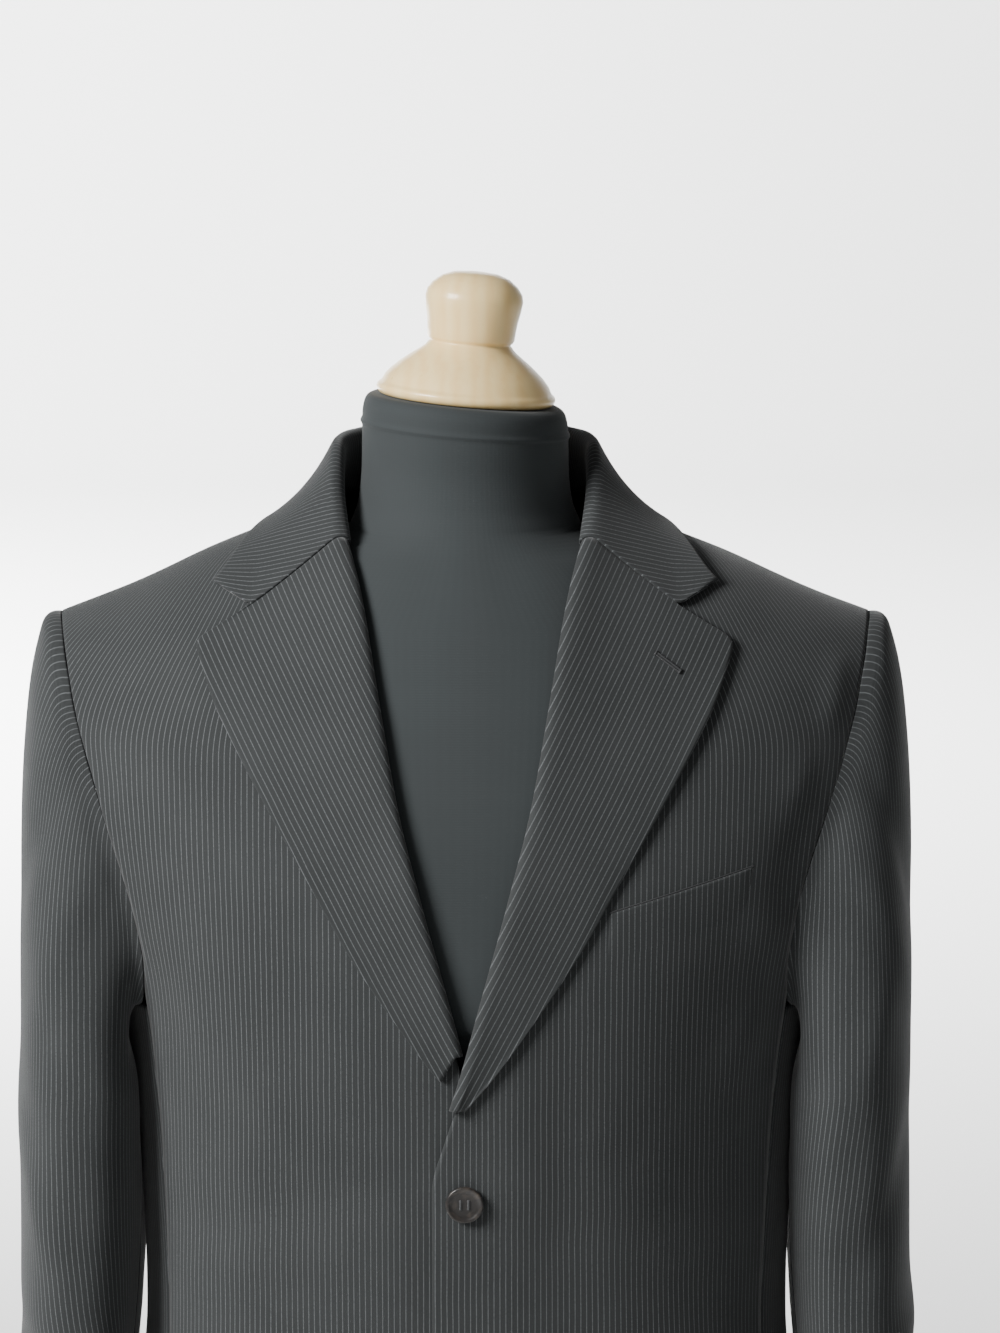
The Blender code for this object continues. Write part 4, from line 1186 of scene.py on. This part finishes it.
def addButtonhole(name, middle, along, normal, length):
    # a slit between two raised rows of stitches, each end closed by a bar
    side = normal.cross(along).normalized()
    shape = bmesh.new()
    stitches = 26
    for k in range(stitches):
        for a in (-1, 1):
            place = ((k + 0.5) / stitches - 0.5) * length
            middleOf = (place, a * 0.0007, 0.00015 + 0.00005 * (k % 2))
            addBlock(shape, (0.85 * length / stitches, 0.0011, 0.0007), middleOf)
    for a in (-1, 1):
        addBlock(shape, (0.0009, 0.0030, 0.0009), (a * (0.5 * length + 0.0004), 0, 0.0002))
    setInto(shape, middle, along, side, normal)
    keepPiece(name, shape, thread, [])


def lapelSpot(x, z):
    return frontSkin(x, z, suit["overlapLift"], 1) + jacketNormal(x, z, -1) * (lapel["lift"] + 0.0007)


# the buttonhole lies below the lapel's upper edge and in line with it
holeStart, holeEnd = lapelSpot(0.1030, 1.4861), lapelSpot(0.1200, 1.4735)
holeNormal = jacketNormal(0.1115, 1.480, -1)
holeWay = (holeEnd - holeStart).normalized()
addButtonhole("buttonhole_lapel", (holeStart + holeEnd) / 2, holeWay, holeNormal, 0.016)

for name, z in (("front_button_upper", 1.188), ("front_button_lower", 1.082)):
    normal = jacketNormal(0.0, z, -1)
    addButton(name, frontSkin(0.0, z, suit["overlapLift"], 1) + normal * 0.0006, normal, 0.0105, [name])

for hand, handName in handNames:
    for k in range(4):
        z, turn = 0.890 + 0.0165 * k, -76
        down = (sleeve["ringZ"] - z) / (sleeve["ringZ"] - sleeve["cuffZ"])
        t = sleeve["capShare"] + (1 - sleeve["capShare"]) * down
        ahead = sleevePoint(turn + 4, t, hand) - sleevePoint(turn - 4, t, hand)
        above = sleevePoint(turn, t - 0.015, hand) - sleevePoint(turn, t + 0.015, hand)
        normal = ahead.cross(above).normalized()
        if normal.y < 0:
            normal.negate()
        base = sleevePoint(turn, t, hand) + normal * 0.0005
        base.x, normal.x = hand * base.x, hand * normal.x
        name = f"cuff_button_{handName}_{k + 1}"
        addButton(name, base, normal, 0.0073, [name])
print("pockets and buttons made")


# the dress form

form = {
    "tilt": 0.09,
    "neckTop": 1.619,
    "columns": 120,
    "flatWidth": 0.36,
    "gapUnderCloth": 0.0046,
    "seamRidge": {"height": 1.6035, "width": 0.0014, "stands": 0.0011},
    "poleX": 0.088,
    # height, half width, front, back, squareness
    "body": [
        (0.945, 0.1600, 0.1080, 0.1100, 2.0), (1.000, 0.1650, 0.1080, 0.1080, 2.0),
        (1.060, 0.1630, 0.1060, 0.1050, 2.0), (1.095, 0.1630, 0.1065, 0.1050, 2.0),
        (1.150, 0.1650, 0.1130, 0.1060, 2.1), (1.220, 0.1710, 0.1240, 0.1130, 2.2),
        (1.270, 0.1760, 0.1320, 0.1210, 2.3),
    ],
    # height, radius, centre y
    "neck": [
        (1.547, 0.0660, 0.004), (1.562, 0.0605, 0.003), (1.580, 0.0585, 0.001), (1.595, 0.0582, -0.002),
        (1.608, 0.0580, -0.004), (1.614, 0.0570, -0.005), (1.6175, 0.0550, -0.005), (1.619, 0.0525, -0.005),
    ],
    "cap": [
        (0, 0.0470), (0.0006, 0.0486), (0.0020, 0.0499), (0.0038, 0.0505), (0.0052, 0.0502), (0.0062, 0.0494),
        (0.0068, 0.0484), (0.0080, 0.0476), (0.0110, 0.0462), (0.0150, 0.0428), (0.0190, 0.0384),
        (0.0230, 0.0334), (0.0262, 0.0290), (0.0285, 0.0260), (0.0300, 0.0245), (0.0312, 0.0238),
        (0.0320, 0.0228), (0.0328, 0.0228), (0.0336, 0.0238), (0.0350, 0.0246), (0.0400, 0.0250),
        (0.0450, 0.0256), (0.0510, 0.0268), (0.0570, 0.0276), (0.0610, 0.0268), (0.0650, 0.0240),
        (0.0690, 0.0190), (0.0712, 0.0130), (0.0720, 0.0060),
    ],
    "base": [
        (0, 0.2000), (0.0008, 0.2030), (0.0030, 0.2050), (0.0130, 0.2050), (0.0165, 0.2035), (0.0190, 0.2000),
        (0.0208, 0.1955), (0.0218, 0.1900), (0.0220, 0.1860), (0.0220, 0.1700),
    ],
    "pole": [
        (0, 0.0165), (0.0006, 0.0175), (0.0034, 0.0175), (0.0050, 0.0170), (0.0066, 0.0150), (0.0074, 0.0132),
        (0.0080, 0.0125), (0.4600, 0.0125), (0.9226, 0.0125),
    ],
}


def formPoint(z, share):
    # one point of the ring at that height, share running from +X round the front
    turn = 2 * math.pi * share
    side = -1 if share <= 0.5 else 1
    if z <= form["body"][-1][0]:
        halfWidth = glide(form["body"], z)
        depth = glide(form["body"], z, 2 if side < 0 else 3)
        power = 2 / glide(form["body"], z, 4)
        x = halfWidth * math.copysign(abs(math.cos(turn)) ** power, math.cos(turn))
        return Vector((x, side * depth * abs(math.sin(turn)) ** power, z))
    if z < form["neck"][0][0]:
        halfWidth = glide(armholeFront if side < 0 else armholeBack, z) - 0.008
        while ridgeZ(halfWidth) < z + 0.001:
            halfWidth -= 0.0005
        x = halfWidth * math.copysign(abs(math.cos(turn)) ** 0.8, math.cos(turn))
        return jacketPoint(x, z, side) - jacketNormal(x, z, side) * form["gapUnderCloth"]
    below = formPoint(1.538, share)
    around = math.atan2(below.y - 0.006, below.x)
    ridge = form["seamRidge"]
    radius = glide(form["neck"], z) + ridge["stands"] * bump(ridge["height"], ridge["width"], z)
    x, y = radius * math.cos(around), glide(form["neck"], z, 2) + radius * math.sin(around)
    return Vector((x, y, z - form["tilt"] * ramp(1.547, form["neckTop"], z) * x))


def formLevels():
    low = [0.945 + 0.325 * k / 26 for k in range(27)]
    chest = [1.285 + 0.253 * k / 34 for k in range(35)]
    neck = [1.547 + 0.046 * k / 14 for k in range(15)] + [1.5955 + 0.0235 * k / 28 for k in range(29)]
    return low + chest + neck


def addForm():
    columns, levels = form["columns"], formLevels()

    def cornerAt(column, row):
        share, z = column / columns, levels[row]
        return formPoint(z, share % 1.0), (share * form["flatWidth"], z)

    shape = layGrid(columns, len(levels) - 1, cornerAt)
    bmesh.ops.remove_doubles(shape, verts=shape.verts, dist=weld)
    bmesh.ops.holes_fill(shape, edges=[edge for edge in shape.edges if edge.is_boundary], sides=0)
    bmesh.ops.recalc_face_normals(shape, faces=shape.faces)
    keepPiece("form", shape, jersey, ["form_torso"])


addForm()
capAxis = Vector((form["tilt"], 0, 1)).normalized()
turnedPiece("cap", form["cap"], Vector((0, -0.005, form["neckTop"])) + capAxis * 0.0003, capAxis, capTimber,
            ["neck_cap"], steps=160)
turnedPiece("base", form["base"], (0, 0, 0), (0, 0, 1), baseTimber, ["stand_base"], steps=160)
turnedPiece("pole", form["pole"], (form["poleX"], 0, 0.0222), (0, 0, 1), steel, ["stand_pole"],
            steps=64)
print("form and stand made")


# studio

studio = {
    "paper": (0.90, 0.905, 0.90),
    "lights": [
        # name, place, aim, width, strength
        ("key", (-2.2, -1.65, 2.80), (0.0, 0.0, 1.35), 1.2, 205.0),
        ("fill", (2.2, -2.4, 1.6), (0.0, 0.0, 1.3), 1.6, 1.0),
        ("paperLight", (-4.6, 8.5, 4.0), (-1.2, 12.0, 0.0), 2.2, 4200.0),
    ],
    "wall": 17.0,
    "bend": 3.0,
    "surround": 0.21,
    "aim": (0.0195, 0.0, 1.467),
    "elevation": 8.0,
    "distance": 3.6,
    "frameHeight": 0.7545,
}


def addSweep():
    # the floor rising into the paper behind
    wall, bend = studio["wall"], studio["bend"]
    profile = [(-14.0, 0.0), (wall - bend, 0.0)]
    for a in range(1, 19):
        turn = a * math.pi / 36
        profile.append((wall - bend + bend * math.sin(turn), bend - bend * math.cos(turn)))
    profile.append((wall, 8.0))
    shape = bmesh.new()
    bmesh.ops.create_grid(shape, x_segments=1, y_segments=len(profile) - 1, size=0.5, calc_uvs=False)
    for vert in shape.verts:
        y, z = profile[round((vert.co.y + 0.5) * (len(profile) - 1))]
        vert.co = (vert.co.x * 30, y, z - 0.0003)
    finish, tree, shader = newFinish("paper", 0.9)
    dress(tree, shader, {"Base Color": (*studio["paper"], 1)})
    paper = smoothObject("paper", shape, finish)


def addLight(name, place, aim, width, strength):
    lamp = bpy.data.lights.new(name, "AREA")
    lamp.size, lamp.energy = width, strength
    light = newObject(name, lamp)
    light.location = place
    light.rotation_euler = (Vector(aim) - Vector(place)).to_track_quat("-Z", "Y").to_euler()


addSweep()
for light in studio["lights"]:
    addLight(*light)
world = bpy.data.worlds.new("studio")
world.use_nodes = True
backdrop = world.node_tree.nodes["Background"]
dress(world.node_tree, backdrop, {"Color": (1, 1, 1, 1), "Strength": studio["surround"]})
bpy.context.scene.world = world

lens = bpy.data.cameras.new("camera")
lens.lens = lens.sensor_width * studio["distance"] / studio["frameHeight"]
camera = newObject("camera", lens)
up = math.radians(studio["elevation"])
camera.location = Vector(studio["aim"]) + Vector((0, -math.cos(up), math.sin(up))) * studio["distance"]
camera.rotation_euler = (math.pi / 2 - up, 0, 0)
bpy.context.scene.camera = camera
